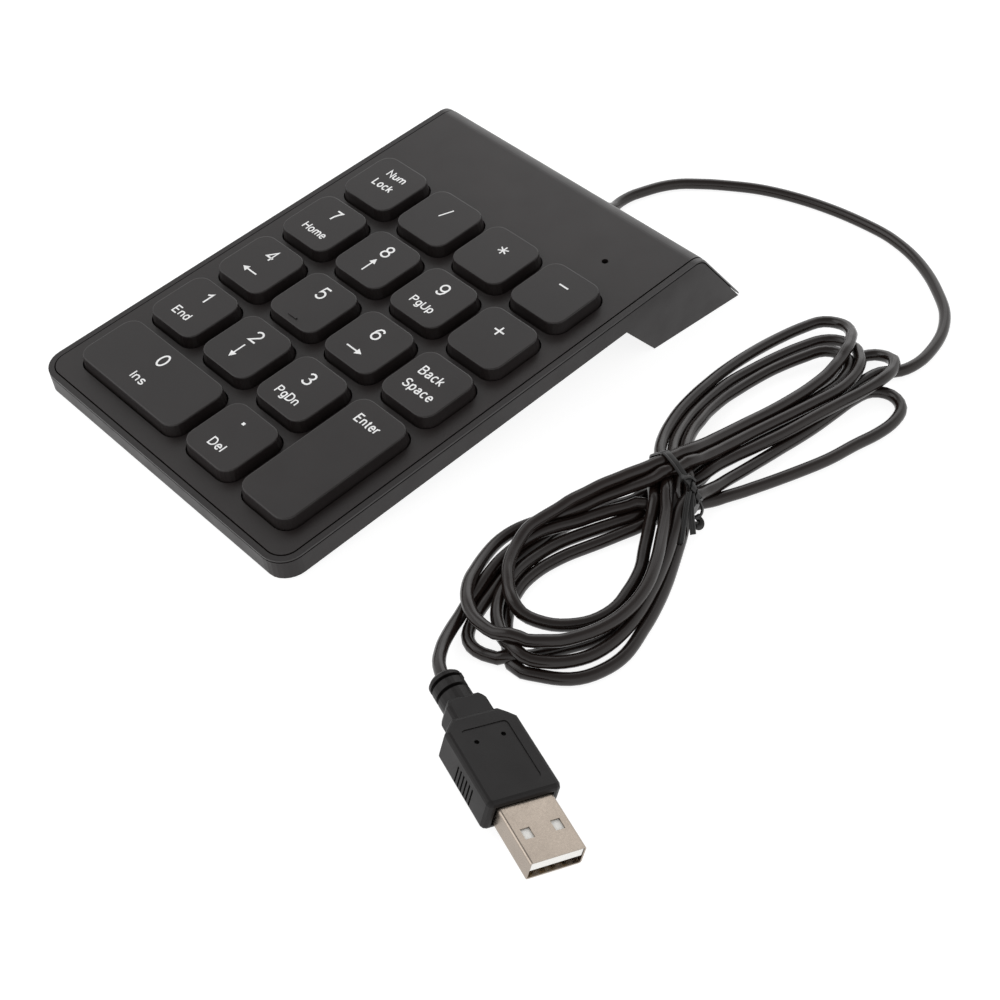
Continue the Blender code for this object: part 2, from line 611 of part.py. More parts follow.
def make_gland(mat):
    """Moulded gland that fills the rear wall's hole, flush with the sloping wall."""
    mesh = cylinder_mesh([(0.0, 0.0)], GLAND_RADIUS, -3.0 * MM, 4.0 * MM, segments=20)
    mesh.transform(EXIT_AXIS)
    gland = add_object("cord_gland", mesh, mat)
    profile = tray_profile()
    boolean(gland, "INTERSECT", side_mesh([(v + 0.4 * MM, z) for v, z in profile], 50.0 * MM), parent=DECK)
    lean = math.atan(REAR_SLOPE) + TILT
    flange = cylinder_mesh([(0.0, 0.0)], 3.6 * MM, -2.9 * MM, -1.9 * MM, segments=20)
    flange.transform(Matrix.Translation((0.0, EXIT_Y, EXIT_HEIGHT)) @ Matrix.Rotation(lean - math.pi / 2, 4, "X"))
    boolean(gland, "UNION", flange)
    below = [(-10.0 * MM, 40.0 * MM), (10.0 * MM, 40.0 * MM), (10.0 * MM, 90.0 * MM), (-10.0 * MM, 90.0 * MM)]
    boolean(gland, "DIFFERENCE", outline_mesh(below, -5.0 * MM, 2.0 * MM), parent=GROUND)
    return smooth(gland)


def make_hank(mat):
    """The folded hank of cord, as one solid of its outer shape."""
    outline = [(x * MM, y * MM) for x, y in HANK_OUTLINE]
    hank = add_object("cord_hank", outline_mesh(outline, *HANK_Z), mat)
    return bevel(hank, 2.0 * MM, 2)


def make_tie(mat):
    """Twist tie bent over the hank's waist."""
    span, leg, rise, thick, half = 11.3 * MM, 0.6 * MM, 9.4 * MM, 0.9 * MM, 1.5 * MM
    outline = [(-span, leg), (-span, rise - 1.5 * MM), (-span + 1.5 * MM, rise), (span - 1.5 * MM, rise),
               (span, rise - 1.5 * MM), (span, leg), (span - thick, leg), (span - thick, rise - 1.9 * MM),
               (span - 1.9 * MM, rise - thick), (-span + 1.9 * MM, rise - thick),
               (-span + thick, rise - 1.9 * MM), (-span + thick, leg)]
    mesh = outline_mesh(outline, -half, half)
    stand = Matrix.Rotation(math.radians(90), 4, "X")
    place = Matrix.Translation((TIE_CENTRE[0] * MM, TIE_CENTRE[1] * MM, 0.0))
    mesh.transform(place @ Matrix.Rotation(TIE_HEADING, 4, "Z") @ stand)
    return add_object("twist_tie", mesh, mat)


def plug_piece(name, mesh, mat):
    mesh.transform(PLUG_FRAME)
    return add_object(name, mesh, mat)


def is_along(edge, axis):
    """Whether an edge runs along one axis of its mesh."""
    run = edge.verts[1].co - edge.verts[0].co
    return abs(run[axis]) > 0.99 * run.length


def round_edges(mesh, radius, segments, wanted):
    """Rounds the sharp edges of a mesh that a test picks."""
    bm = bmesh.new()
    bm.from_mesh(mesh)
    edges = [edge for edge in bm.edges
             if edge.is_manifold and edge.calc_face_angle() > math.radians(60) and wanted(edge)]
    bmesh.ops.bevel(bm, geom=edges, offset=radius, segments=segments, profile=0.5, affect="EDGES")
    bm.to_mesh(mesh)
    bm.free()
    return mesh


def mirrored(half):
    """A closed outline from its left half, front to back."""
    return [(x * MM, y * MM) for x, y in half] + [(x * MM, -y * MM) for x, y in reversed(half)]


def make_overmould(mat):
    body = mirrored([(-12.4, 6.5), (-12.7, 7.2), (-13.4, 7.5), (-29.9, 7.5), (-31.3, 6.2), (-32.7, 4.7)])
    mesh = outline_mesh(body, -3.6 * MM, 3.6 * MM)
    overmould = plug_piece("plug_overmould", round_edges(mesh, 0.9 * MM, 3, lambda edge: True), mat)
    neck = mirrored([(-31.5, 4.3), (-35.7, 4.2), (-36.5, 3.8), (-37.3, 3.1)])
    mesh = round_edges(outline_mesh(neck, -2.8 * MM, 3.4 * MM), 0.8 * MM, 2, lambda edge: not is_along(edge, 2))
    along = PLUG_FRAME @ Matrix.Rotation(math.radians(-90), 4, "Y")
    mesh.transform(PLUG_FRAME)
    boolean(overmould, "UNION", mesh)
    rings = ((2.5, 2.5, 35.5, 43.9), (3.35, 3.35, 35.9, 39.6), (3.35, 3.35, 40.4, 42.1), (3.35, 3.35, 42.85, 43.6),
             (3.35, 2.9, 43.6, 44.1))
    for low_radius, high_radius, start, end in rings:
        ring = cylinder_mesh([(0.0, 0.0)], low_radius * MM, start * MM, end * MM, high_radius * MM, segments=28)
        ring.transform(along)
        boolean(overmould, "UNION", ring)
    bridge = box_mesh((-43.2 * MM, 0.4 * MM, -2.3 * MM), (-41.8 * MM, 2.75 * MM, 2.2 * MM))
    bridge.transform(PLUG_FRAME)
    boolean(overmould, "UNION", bridge)
    cuts = [box_mesh((-15.2 * MM, -5.95 * MM, -2.4 * MM), (-8.0 * MM, 5.95 * MM, 2.4 * MM)),
            outline_mesh(rounded(-29.3 * MM, -15.4 * MM, -4.8 * MM, 4.8 * MM, 0.8 * MM, 0.8 * MM, 3),
                         3.44 * MM, 6.0 * MM),
            cylinder_mesh([(-26.2 * MM, -2.9 * MM), (-26.5 * MM, 2.75 * MM)], 0.5 * MM, 2.9 * MM, 6.0 * MM,
                          segments=10)]
    for number in range(6):
        x = (-23.5 + 1.1 * number) * MM
        for side in (-1, 1):
            cuts.append(box_mesh((x - 0.22 * MM, side * 8.3 * MM - 1.15 * MM, -3.0 * MM),
                                 (x + 0.22 * MM, side * 8.3 * MM + 1.15 * MM, 1.4 * MM)))
    for cut in cuts:
        cut.transform(PLUG_FRAME)
        boolean(overmould, "DIFFERENCE", cut)
    return smooth(overmould)


def make_plug(rubber_mat, steel_mat, white_mat, gold_mat):
    """USB plug: overmould with ribbed sides and a ringed relief, folded steel shell, tongue and four contacts."""
    overmould = make_overmould(rubber_mat)

    half_w, half_h, sheet = 5.65 * MM, 2.25 * MM, 0.32 * MM
    mesh = box_mesh((-14.3 * MM, -half_w, -half_h), (0.0, half_w, half_h))
    shell = plug_piece("plug_shell", round_edges(mesh, 0.5 * MM, 3, lambda edge: is_along(edge, 0)), steel_mat)
    mesh = box_mesh((-20.0 * MM, -half_w + sheet, -half_h + sheet), (5.0 * MM, half_w - sheet, half_h - sheet))
    hollow = round_edges(mesh, 0.2 * MM, 2, lambda edge: is_along(edge, 0))
    hollow.transform(PLUG_FRAME)
    boolean(shell, "DIFFERENCE", hollow)
    for side in (-1, 1):
        hole = box_mesh((-7.1 * MM, side * 3.05 * MM - 0.95 * MM, -9.0 * MM),
                        (-4.8 * MM, side * 3.05 * MM + 0.95 * MM, 9.0 * MM))
        hole.transform(PLUG_FRAME)
        boolean(shell, "DIFFERENCE", hole)
    smooth(shell)
    tongue = box_mesh((-14.1 * MM, -5.2 * MM, -0.1 * MM), (-0.12 * MM, 5.2 * MM, half_h - sheet - 0.08 * MM))
    plug_piece("plug_tongue", tongue, white_mat)
    for number, y in enumerate((-3.5, -1.0, 1.0, 3.5), 1):
        contact = box_mesh((-13.4 * MM, (y - 0.5) * MM, -0.45 * MM), (-1.2 * MM, (y + 0.5) * MM, -0.2 * MM))
        plug_piece(f"plug_contact_{number}", contact, gold_mat)
    return overmould


def make_cord(jacket_mat, tie_mat):
    tube("cord_lead", LEAD_ROUTE, CORD_RADIUS, jacket_mat)
    make_hank(jacket_mat)
    tube("cord_plug_lead", PLUG_LEAD_ROUTE, CORD_RADIUS, jacket_mat, 3.5 * MM)
    tube("inner_cable", CABLE_ROUTE, 1.0 * MM, jacket_mat, 3.0 * MM)
    make_tie(tie_mat)


# --- assembly ------------------------------------------------------------------------------------------

clear_scene()
PARTS = new_collection(OBJECT_NAME)
CUTTERS = new_collection("cutters")
CUTTERS.hide_render = True

FRONT_MOST = from_deck(FRONT, 0.0)[0]
REAR_MOST = from_deck(*sole_points()[1])[0]
DECK_Y = -(FRONT_MOST + REAR_MOST) / 2

DECK = bpy.data.objects.new("deck", None)
PARTS.objects.link(DECK)
DECK.location = (0.0, DECK_Y, DECK_RISE)
DECK.rotation_euler = (TILT, 0.0, 0.0)
GROUND = bpy.data.objects.new("ground", None)
PARTS.objects.link(GROUND)
bpy.context.view_layer.update()

FRONT_FEET = [(side * 34.0 * MM, DECK_Y - 46.0 * MM) for side in (-1, 1)]
REAR_FEET = [(side * 34.0 * MM, DECK_Y + 77.0 * MM) for side in (-1, 1)]
EXIT_DROP = (EXIT_HEIGHT - from_deck(REAR, 0.0)[1]) / (math.cos(TILT) - REAR_SLOPE * math.sin(TILT))
EXIT_Y = DECK_Y + from_deck(rear_line(EXIT_DROP), EXIT_DROP)[0]
EXIT_AXIS = Matrix.Translation((0.0, EXIT_Y, EXIT_HEIGHT)) @ Matrix.Rotation(math.radians(-90), 4, "X")
PLUG_FRAME = (Matrix.Translation(PLUG_NOSE) @ Matrix.Rotation(PLUG_HEADING, 4, "Z")
              @ Matrix.Rotation(PLUG_PITCH, 4, "Y") @ Matrix.Rotation(PLUG_ROLL, 4, "X"))

black = material("satin_black_plastic", (0.055, 0.053, 0.053), 0.5)
key_black = material("key_plastic", (0.06, 0.058, 0.058), 0.48)
rubber = material("black_rubber", (0.03, 0.03, 0.03), 0.8)
jacket = material("cord_jacket", (0.035, 0.032, 0.03), 0.4)
dome_rubber = material("dome_rubber", (0.75, 0.75, 0.72), 0.6)
film = material("membrane_film", (0.55, 0.65, 0.6), 0.3)
steel = material("steel", (0.62, 0.6, 0.58), 0.35, 1.0)
nickel = material("nickel_plating", (0.72, 0.68, 0.62), 0.3, 1.0)
gold = material("gold_plating", (0.8, 0.6, 0.25), 0.25, 1.0)
green = material("board_laminate", (0.03, 0.16, 0.08), 0.4)
chip_black = material("chip_resin", (0.02, 0.02, 0.02), 0.5)
white = material("white_plastic", (0.8, 0.8, 0.78), 0.45)
clear = material("clear_plastic", (0.2, 0.2, 0.2), 0.15)
overmould = material("plug_plastic", (0.05, 0.048, 0.048), 0.6)

make_deck_plate(black)
make_edge_trim(black)
make_bottom_shell(black)
make_screws(steel)
make_feet(rubber)
make_keys(key_black)
make_key_guide(chip_black)
make_dome_sheet(dome_rubber)
make_membrane(film)
field_sheet("steel_back_plate", steel, BACK_PLATE, 0.2 * MM)
make_electronics(green, chip_black, clear, white, steel)
make_gland(rubber)
make_cord(jacket, rubber)
make_plug(overmould, nickel, white, gold)
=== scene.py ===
"""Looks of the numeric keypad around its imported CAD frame."""
import math

import bmesh
import bpy
import numpy as np
from mathutils import Matrix, Vector


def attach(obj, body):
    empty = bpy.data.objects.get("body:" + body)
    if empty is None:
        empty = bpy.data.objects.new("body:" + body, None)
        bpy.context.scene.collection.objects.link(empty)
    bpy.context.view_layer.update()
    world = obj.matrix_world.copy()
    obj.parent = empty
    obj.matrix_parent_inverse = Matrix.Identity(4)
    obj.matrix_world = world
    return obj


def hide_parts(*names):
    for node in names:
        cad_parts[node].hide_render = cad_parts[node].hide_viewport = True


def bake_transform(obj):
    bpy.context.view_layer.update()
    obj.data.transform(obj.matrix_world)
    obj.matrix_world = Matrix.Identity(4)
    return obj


MM = 0.001
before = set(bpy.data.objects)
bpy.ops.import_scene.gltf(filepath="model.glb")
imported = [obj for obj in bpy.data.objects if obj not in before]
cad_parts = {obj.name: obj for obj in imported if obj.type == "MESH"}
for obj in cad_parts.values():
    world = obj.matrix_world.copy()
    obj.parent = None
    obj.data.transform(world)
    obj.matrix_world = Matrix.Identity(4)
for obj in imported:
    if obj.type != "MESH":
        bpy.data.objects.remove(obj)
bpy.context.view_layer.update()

TILT = math.radians(6.1)
DECK_Y = -16.696 * MM
DECK_RISE = 11.3 * MM
CAP_TOP = 2.95 * MM                        # a cap's top above the deck's
CORD_RADIUS = 1.35 * MM

# from the deck's own frame, with its origin in the middle of the deck's top, to the object's
DECK = Matrix.Translation((0.0, DECK_Y, DECK_RISE)) @ Matrix.Rotation(TILT, 4, "X")


# --- camera --------------------------------------------------------------------------------------------

CAMERA_PLACE = (251.06 * MM, -206.16 * MM, 267.93 * MM)
CAMERA_HEADING = math.radians(46.59)       # from +Y, anticlockwise seen from above
CAMERA_DIP = math.radians(44.68)
CAMERA_ROLL = math.radians(0.11)
CAMERA_LENS = 65.38


def make_camera():
    data = bpy.data.cameras.new("camera")
    data.lens = CAMERA_LENS
    data.sensor_width = 36.0
    data.clip_start = 0.01
    data.clip_end = 20.0
    camera = bpy.data.objects.new("camera", data)
    bpy.context.scene.collection.objects.link(camera)
    camera.matrix_world = (Matrix.Translation(CAMERA_PLACE) @ Matrix.Rotation(CAMERA_HEADING, 4, "Z")
                           @ Matrix.Rotation(math.pi / 2 - CAMERA_DIP, 4, "X")
                           @ Matrix.Rotation(CAMERA_ROLL, 4, "Z"))
    bpy.context.scene.camera = camera


# --- mesh helpers --------------------------------------------------------------------------------------

def add_object(name, data, mat=None):
    """A new object in the scene, with its material."""
    obj = bpy.data.objects.new(name, data)
    bpy.context.scene.collection.objects.link(obj)
    if mat is not None:
        data.materials.append(mat)
    return obj


def finished(bm):
    """The mesh of a finished bmesh, its faces all pointing out."""
    mesh = bpy.data.meshes.new("mesh")
    bmesh.ops.recalc_face_normals(bm, faces=bm.faces)
    bm.to_mesh(mesh)
    bm.free()
    return mesh


def smooth(obj, angle):
    """Shades an object smooth, apart from edges sharper than an angle in degrees."""
    obj.data.shade_smooth()
    obj.data.set_sharp_from_angle(angle=math.radians(angle))
    return obj


# --- materials -----------------------------------------------------------------------------------------

# scales of noise, in features for each metre
PLASTIC_COLOUR_DRIFT = 45.0
PLASTIC_GLOSS_DRIFT = 160.0
METAL_COLOUR_DRIFT = 260.0
METAL_SCRATCHES = 2500.0
INK_COLOUR_DRIFT = 900.0
FLOOR_COLOUR_DRIFT = 3.0
PLASTIC_COLOUR_SPREAD = 0.125              # lighter and darker by this share


def new_material(name):
    mat = bpy.data.materials.new(name)
    mat.use_nodes = True
    return mat, mat.node_tree.nodes, mat.node_tree.links, mat.node_tree.nodes["Principled BSDF"]


def noise(nodes, links, scale, detail):
    place = nodes.new("ShaderNodeNewGeometry")
    tex = nodes.new("ShaderNodeTexNoise")
    tex.inputs["Scale"].default_value = scale
    tex.inputs["Detail"].default_value = detail
    links.new(place.outputs["Position"], tex.inputs["Vector"])
    return tex.outputs["Fac"]


def spread(nodes, links, source, low, high, start=0.3, stop=0.7):
    """A number that runs from low to high as the source runs from start to stop."""
    node = nodes.new("ShaderNodeMapRange")
    node.inputs["From Min"].default_value = start
    node.inputs["From Max"].default_value = stop
    node.inputs["To Min"].default_value = low
    node.inputs["To Max"].default_value = high
    links.new(source, node.inputs["Value"])
    return node.outputs["Result"]


def blend_colours(nodes, links, source, first, second):
    node = nodes.new("ShaderNodeMix")
    node.data_type = "RGBA"
    node.inputs["A"].default_value = (*first, 1.0)
    node.inputs["B"].default_value = (*second, 1.0)
    links.new(source, node.inputs["Factor"])
    return node.outputs["Result"]


def bump(nodes, links, source, depth):
    node = nodes.new("ShaderNodeBump")
    node.inputs["Distance"].default_value = depth
    node.inputs["Strength"].default_value = 1.0
    links.new(source, node.inputs["Height"])
    return node.outputs["Normal"]


def plastic(name, colour, roughness, grain=7000.0, grain_depth=0.004, specular=0.5):
    """Moulded plastic: a fine grain, a slow drift in its gloss, and a faint drift in its colour."""
    mat, nodes, links, shader = new_material(name)
    shader.inputs["Specular IOR Level"].default_value = specular
    slow = noise(nodes, links, PLASTIC_COLOUR_DRIFT, 4.0)
    darker = tuple(channel * (1.0 - PLASTIC_COLOUR_SPREAD) for channel in colour)
    lighter = tuple(channel * (1.0 + PLASTIC_COLOUR_SPREAD) for channel in colour)
    links.new(blend_colours(nodes, links, spread(nodes, links, slow, 0.0, 1.0), darker, lighter),
              shader.inputs["Base Color"])
    gloss = noise(nodes, links, PLASTIC_GLOSS_DRIFT, 4.0)
    links.new(spread(nodes, links, gloss, roughness - 0.04, roughness + 0.05), shader.inputs["Roughness"])
    links.new(bump(nodes, links, noise(nodes, links, grain, 2.0), grain_depth * MM), shader.inputs["Normal"])
    return mat


def metal(name, colour, roughness):
    """Bare metal with fine scratches in its gloss and a faint drift in its colour."""
    mat, nodes, links, shader = new_material(name)
    shader.inputs["Metallic"].default_value = 1.0
    slow = noise(nodes, links, METAL_COLOUR_DRIFT, 3.0)
    darker = tuple(channel * 0.9 for channel in colour)
    links.new(blend_colours(nodes, links, spread(nodes, links, slow, 0.0, 1.0), darker, colour),
              shader.inputs["Base Color"])
    gloss = noise(nodes, links, METAL_SCRATCHES, 3.0)
    links.new(spread(nodes, links, gloss, roughness - 0.05, roughness + 0.07), shader.inputs["Roughness"])
    relief = noise(nodes, links, METAL_SCRATCHES, 2.0)
    links.new(bump(nodes, links, relief, 0.001 * MM), shader.inputs["Normal"])
    return mat


CASE_PLASTIC = plastic("case_plastic", (0.0125, 0.0095, 0.0092), 0.37, 5000.0, 0.009, specular=0.42)
TRAY_PLASTIC = plastic("tray_plastic", (0.0102, 0.0078, 0.0077), 0.4, 5000.0, 0.009, specular=0.29)
KEY_PLASTIC = plastic("key_plastic", (0.0112, 0.0087, 0.0085), 0.37, 5000.0, 0.009, specular=0.45)
TRIM_PLASTIC = plastic("trim_plastic", (0.0105, 0.0082, 0.0082), 0.36, specular=0.42)
FOOT_RUBBER = plastic("foot_rubber", (0.02, 0.02, 0.02), 0.75, 3000.0, 0.01)
JACKET = plastic("cord_jacket_pvc", (0.0095, 0.0056, 0.0045), 0.22, 1500.0, 0.004, specular=0.42)
TIE_PLASTIC = plastic("tie_plastic", (0.008, 0.0075, 0.0072), 0.3, 1500.0, 0.01)
DOME_RUBBER = plastic("dome_silicone", (0.7, 0.7, 0.66), 0.5, 3000.0, 0.004)
GUIDE_PLASTIC = plastic("guide_plastic", (0.01, 0.0096, 0.0093), 0.45)
CHIP_RESIN = plastic("chip_resin", (0.015, 0.015, 0.016), 0.55, 9000.0, 0.006)
SOCKET_PLASTIC = plastic("socket_plastic", (0.72, 0.7, 0.64), 0.45)
TONGUE_PLASTIC = plastic("tongue_plastic", (0.75, 0.74, 0.71), 0.4)
FILM = plastic("membrane_film", (0.45, 0.55, 0.5), 0.25, 900.0, 0.002)
BOARD = plastic("board_mask", (0.02, 0.12, 0.05), 0.3, 1500.0, 0.01)
PLUG_PLASTIC = plastic("plug_overmould_pvc", (0.0072, 0.006, 0.006), 0.46, 4000.0, 0.012, specular=0.25)
PIPE_PLASTIC = plastic("light_pipe_plastic", (0.008, 0.008, 0.008), 0.25, 3000.0, 0.001)
STEEL = metal("zinc_steel", (0.62, 0.61, 0.6), 0.35)
NICKEL = metal("nickel_shell", (0.38, 0.325, 0.275), 0.24)
GOLD = metal("gold_contact", (0.83, 0.62, 0.25), 0.25)


def legend_ink():
    mat, nodes, links, shader = new_material("legend_ink")
    slow = spread(nodes, links, noise(nodes, links, INK_COLOUR_DRIFT, 3.0), 0.0, 1.0)
    links.new(blend_colours(nodes, links, slow, (0.78, 0.78, 0.78), (0.9, 0.9, 0.9)),
              shader.inputs["Base Color"])
    shader.inputs["Roughness"].default_value = 0.5
    return mat


INK = legend_ink()

# the first entry with a prefix of a node's name gives the node's material
NODE_MATERIALS = (
    (("deck_plate",), CASE_PLASTIC),
    (("bottom_shell",), TRAY_PLASTIC),
    (("edge_trim",), TRIM_PLASTIC),
    (("foot_",), FOOT_RUBBER),
    (("key_guide",), GUIDE_PLASTIC),
    (("key_",), KEY_PLASTIC),
    (("cord_gland",), FOOT_RUBBER),
    (("case_screw", "wedge_screw", "board_screw", "steel_back_plate", "membrane_clamp_bar"), STEEL),
    (("rubber_dome_sheet",), DOME_RUBBER),
    (("switch_membrane",), FILM),
    (("circuit_board",), BOARD),
    (("controller_chip",), CHIP_RESIN),
    (("indicator_led",), SOCKET_PLASTIC),
    (("indicator_light_pipe",), PIPE_PLASTIC),
    (("cord_connector",), SOCKET_PLASTIC),
    (("inner_cable", "cord_lead", "cord_plug_lead", "cord_hank"), JACKET),
    (("twist_tie",), TIE_PLASTIC),
    (("plug_overmould",), PLUG_PLASTIC),
    (("plug_shell",), NICKEL),
    (("plug_tongue",), TONGUE_PLASTIC),
    (("plug_contact",), GOLD),
)


def dress_nodes():
    """Gives each CAD node its material."""
    for name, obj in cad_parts.items():
        for prefixes, mat in NODE_MATERIALS:
            if name.startswith(prefixes):
                obj.data.materials.clear()
                obj.data.materials.append(mat)
                break
        else:
            raise ValueError(name)


# --- legends -------------------------------------------------------------------------------------------

def arc(x, y, half_width, half_height, start, stop, steps=9):
    """Points along part of an ellipse, from one angle to another in degrees."""
    angles = np.radians(np.linspace(start, stop, steps))
    return [(x + half_width * math.cos(angle), y + half_height * math.sin(angle)) for angle in angles]


def ring(x, y, half_width, half_height):
    return arc(x, y, half_width, half_height, 0, 360, 21)


# Each letter is its width and the centrelines of its strokes, with the capitals one unit high
GLYPHS = {
    "N": (0.66, [[(0, 0), (0, 1), (0.66, 0), (0.66, 1)]]),
    "L": (0.48, [[(0, 1), (0, 0), (0.48, 0)]]),
    "H": (0.66, [[(0, 0), (0, 1)], [(0.66, 0), (0.66, 1)], [(0, 0.53), (0.66, 0.53)]]),
    "P": (0.58, [[(0, 0), (0, 1), (0.34, 1)] + arc(0.34, 0.74, 0.24, 0.26, 80, -90) + [(0, 0.48)]]),
    "U": (0.64, [[(0, 1)] + arc(0.32, 0.3, 0.32, 0.3, 180, 360) + [(0.64, 1)]]),
    "B": (0.58, [[(0, 0), (0, 1), (0.32, 1)] + arc(0.32, 0.77, 0.22, 0.23, 80, -90) + [(0, 0.54)],
                 [(0.32, 0.54)] + arc(0.34, 0.27, 0.24, 0.27, 80, -90) + [(0, 0)]]),
    "S": (0.6, [arc(0.3, 0.755, 0.27, 0.245, 20, 270) + arc(0.3, 0.255, 0.3, 0.255, 80, -160)]),
    "E": (0.56, [[(0.56, 1), (0, 1), (0, 0), (0.56, 0)], [(0, 0.53), (0.5, 0.53)]]),
    "D": (0.64, [[(0, 0), (0, 1), (0.28, 1)] + arc(0.28, 0.5, 0.36, 0.5, 80, -90) + [(0, 0)]]),
    "I": (0.02, [[(0.01, 0), (0.01, 1)]]),
    "a": (0.48, [arc(0.24, 0.48, 0.2, 0.22, 160, 0) + [(0.44, 0.12), (0.49, 0)],
                 [(0.44, 0.42), (0.2, 0.37)] + arc(0.2, 0.18, 0.2, 0.18, 90, 300) + [(0.44, 0.16)]]),
    "c": (0.45, [arc(0.25, 0.35, 0.25, 0.35, 45, 315, 13)]),
    "d": (0.46, [[(0.46, 1), (0.46, 0)], ring(0.23, 0.35, 0.23, 0.35)]),
    "e": (0.48, [[(0, 0.37), (0.48, 0.37)] + arc(0.24, 0.35, 0.24, 0.35, 12, 318, 15)]),
    "g": (0.46, [ring(0.23, 0.36, 0.23, 0.34),
                 [(0.46, 0.7), (0.46, -0.08)] + arc(0.23, -0.06, 0.23, 0.2, 350, 205)]),
    "k": (0.44, [[(0, 0), (0, 1)], [(0.42, 0.7), (0.02, 0.27)], [(0.15, 0.42), (0.44, 0)]]),
    "l": (0.02, [[(0.01, 0), (0.01, 1)]]),
    "m": (0.8, [[(0, 0.7), (0, 0)], arc(0.2, 0.5, 0.2, 0.2, 180, 0) + [(0.4, 0)],
                arc(0.6, 0.5, 0.2, 0.2, 180, 0) + [(0.8, 0)]]),
    "n": (0.44, [[(0, 0.7), (0, 0)], arc(0.22, 0.46, 0.22, 0.24, 180, 0) + [(0.44, 0)]]),
    "o": (0.5, [ring(0.25, 0.35, 0.25, 0.35)]),
    "p": (0.48, [[(0, 0.7), (0, -0.3)], ring(0.24, 0.35, 0.24, 0.35)]),
    "r": (0.26, [[(0, 0.7), (0, 0)], arc(0.22, 0.44, 0.22, 0.25, 180, 75)]),
    "s": (0.42, [arc(0.21, 0.53, 0.19, 0.17, 20, 270) + arc(0.21, 0.18, 0.21, 0.18, 80, -160)]),
    "t": (0.28, [[(0.14, 0.93)] + arc(0.27, 0.13, 0.13, 0.13, 180, 290), [(0, 0.7), (0.28, 0.7)]]),
    "u": (0.46, [[(0, 0.7)] + arc(0.23, 0.22, 0.23, 0.22, 180, 350), [(0.46, 0.7), (0.46, 0)]]),
    "0": (0.54, [ring(0.27, 0.5, 0.27, 0.5)]),
    "1": (0.25, [[(0, 0.74), (0.14, 0.84), (0.25, 1), (0.25, 0)]]),
    "2": (0.56, [arc(0.27, 0.72, 0.26, 0.28, 165, -35) + [(0.02, 0), (0.56, 0)]]),
    "3": (0.53, [arc(0.26, 0.76, 0.23, 0.24, 160, -90) + arc(0.26, 0.26, 0.27, 0.26, 80, -160)]),
    "4": (0.58, [[(0.42, 0), (0.42, 1), (0, 0.3), (0.58, 0.3)]]),
    "5": (0.55, [[(0.52, 1), (0.12, 1), (0.05, 0.5)] + arc(0.27, 0.32, 0.28, 0.32, 120, -150, 15)]),
    "6": (0.54, [ring(0.27, 0.31, 0.27, 0.31),
                 [(0, 0.36), (0.03, 0.7), (0.14, 0.93), (0.3, 1), (0.44, 0.95), (0.51, 0.82)]]),
    "7": (0.56, [[(0, 1), (0.56, 1), (0.38, 0.7), (0.26, 0.38), (0.21, 0)]]),
    "8": (0.54, [ring(0.27, 0.77, 0.22, 0.23), ring(0.27, 0.27, 0.27, 0.27)]),
    "9": (0.54, [ring(0.27, 0.69, 0.27, 0.31),
                 [(0.54, 0.64), (0.51, 0.3), (0.4, 0.07), (0.24, 0), (0.1, 0.05), (0.03, 0.18)]]),
}
LETTER_GAP = 0.27

# key: its words as (text, left, right, baseline, capital height, stroke), millimetres from the deck's centre
WORDS = {
    "key_num_lock": [("Num", -31.2, -25.3, 40.2, 2.4, 0.38), ("Lock", -31.6, -25.4, 36.0, 2.5, 0.38)],
    "key_7": [("7", -29.6, -27.4, 20.6, 3.6, 0.46), ("Home", -32.0, -24.6, 14.7, 2.4, 0.34)],
    "key_8": [("8", -10.9, -8.4, 20.2, 3.9, 0.46)],
    "key_9": [("9", 8.1, 10.6, 20.2, 3.8, 0.46), ("PgUp", 5.8, 12.8, 14.7, 2.3, 0.34)],
    "key_4": [("4", -30.1, -27.5, 1.6, 3.7, 0.46)],
    "key_5": [("5", -11.4, -8.9, 1.2, 4.0, 0.46)],
    "key_6": [("6", 7.95, 10.45, 0.9, 3.8, 0.46)],
    "key_back_space": [("Back", 24.2, 31.2, 0.9, 2.7, 0.36), ("Space", 24.2, 33.0, -3.8, 2.6, 0.36)],
    "key_1": [("1", -29.6, -28.1, -17.2, 3.6, 0.46), ("End", -31.8, -26.5, -23.4, 2.4, 0.34)],
    "key_2": [("2", -11.4, -8.8, -17.6, 3.7, 0.46)],
    "key_3": [("3", 7.4, 9.9, -18.1, 3.8, 0.46), ("PgDn", 5.4, 12.4, -23.7, 2.4, 0.34)],
    "key_enter": [("Enter", 24.6, 31.6, -17.6, 2.5, 0.36)],
    "key_0": [("0", -21.05, -18.55, -36.3, 3.8, 0.46), ("Ins", -21.8, -17.4, -42.4, 2.4, 0.34)],
    "key_decimal": [("Del", 6.8, 11.2, -42.8, 2.4, 0.34)],
}
# key: straight strokes as (first end, second end, stroke)
SIGNS = {
    "key_divide": [((-10.3, 38.5), (-8.9, 42.1), 0.36)],
    "key_multiply": [((9.8, 38.9), (9.8, 41.5), 0.34), ((8.65, 39.55), (10.95, 40.85), 0.34),
                     ((8.65, 40.85), (10.95, 39.55), 0.34)],
    "key_subtract": [((27.3, 40.8), (30.0, 40.8), 0.42)],
    "key_add": [((26.85, 21.4), (29.75, 21.4), 0.42), ((28.3, 20.0), (28.3, 22.8), 0.42)],
    "key_decimal": [((8.15, -34.2), (8.9, -34.2), 0.75)],
}
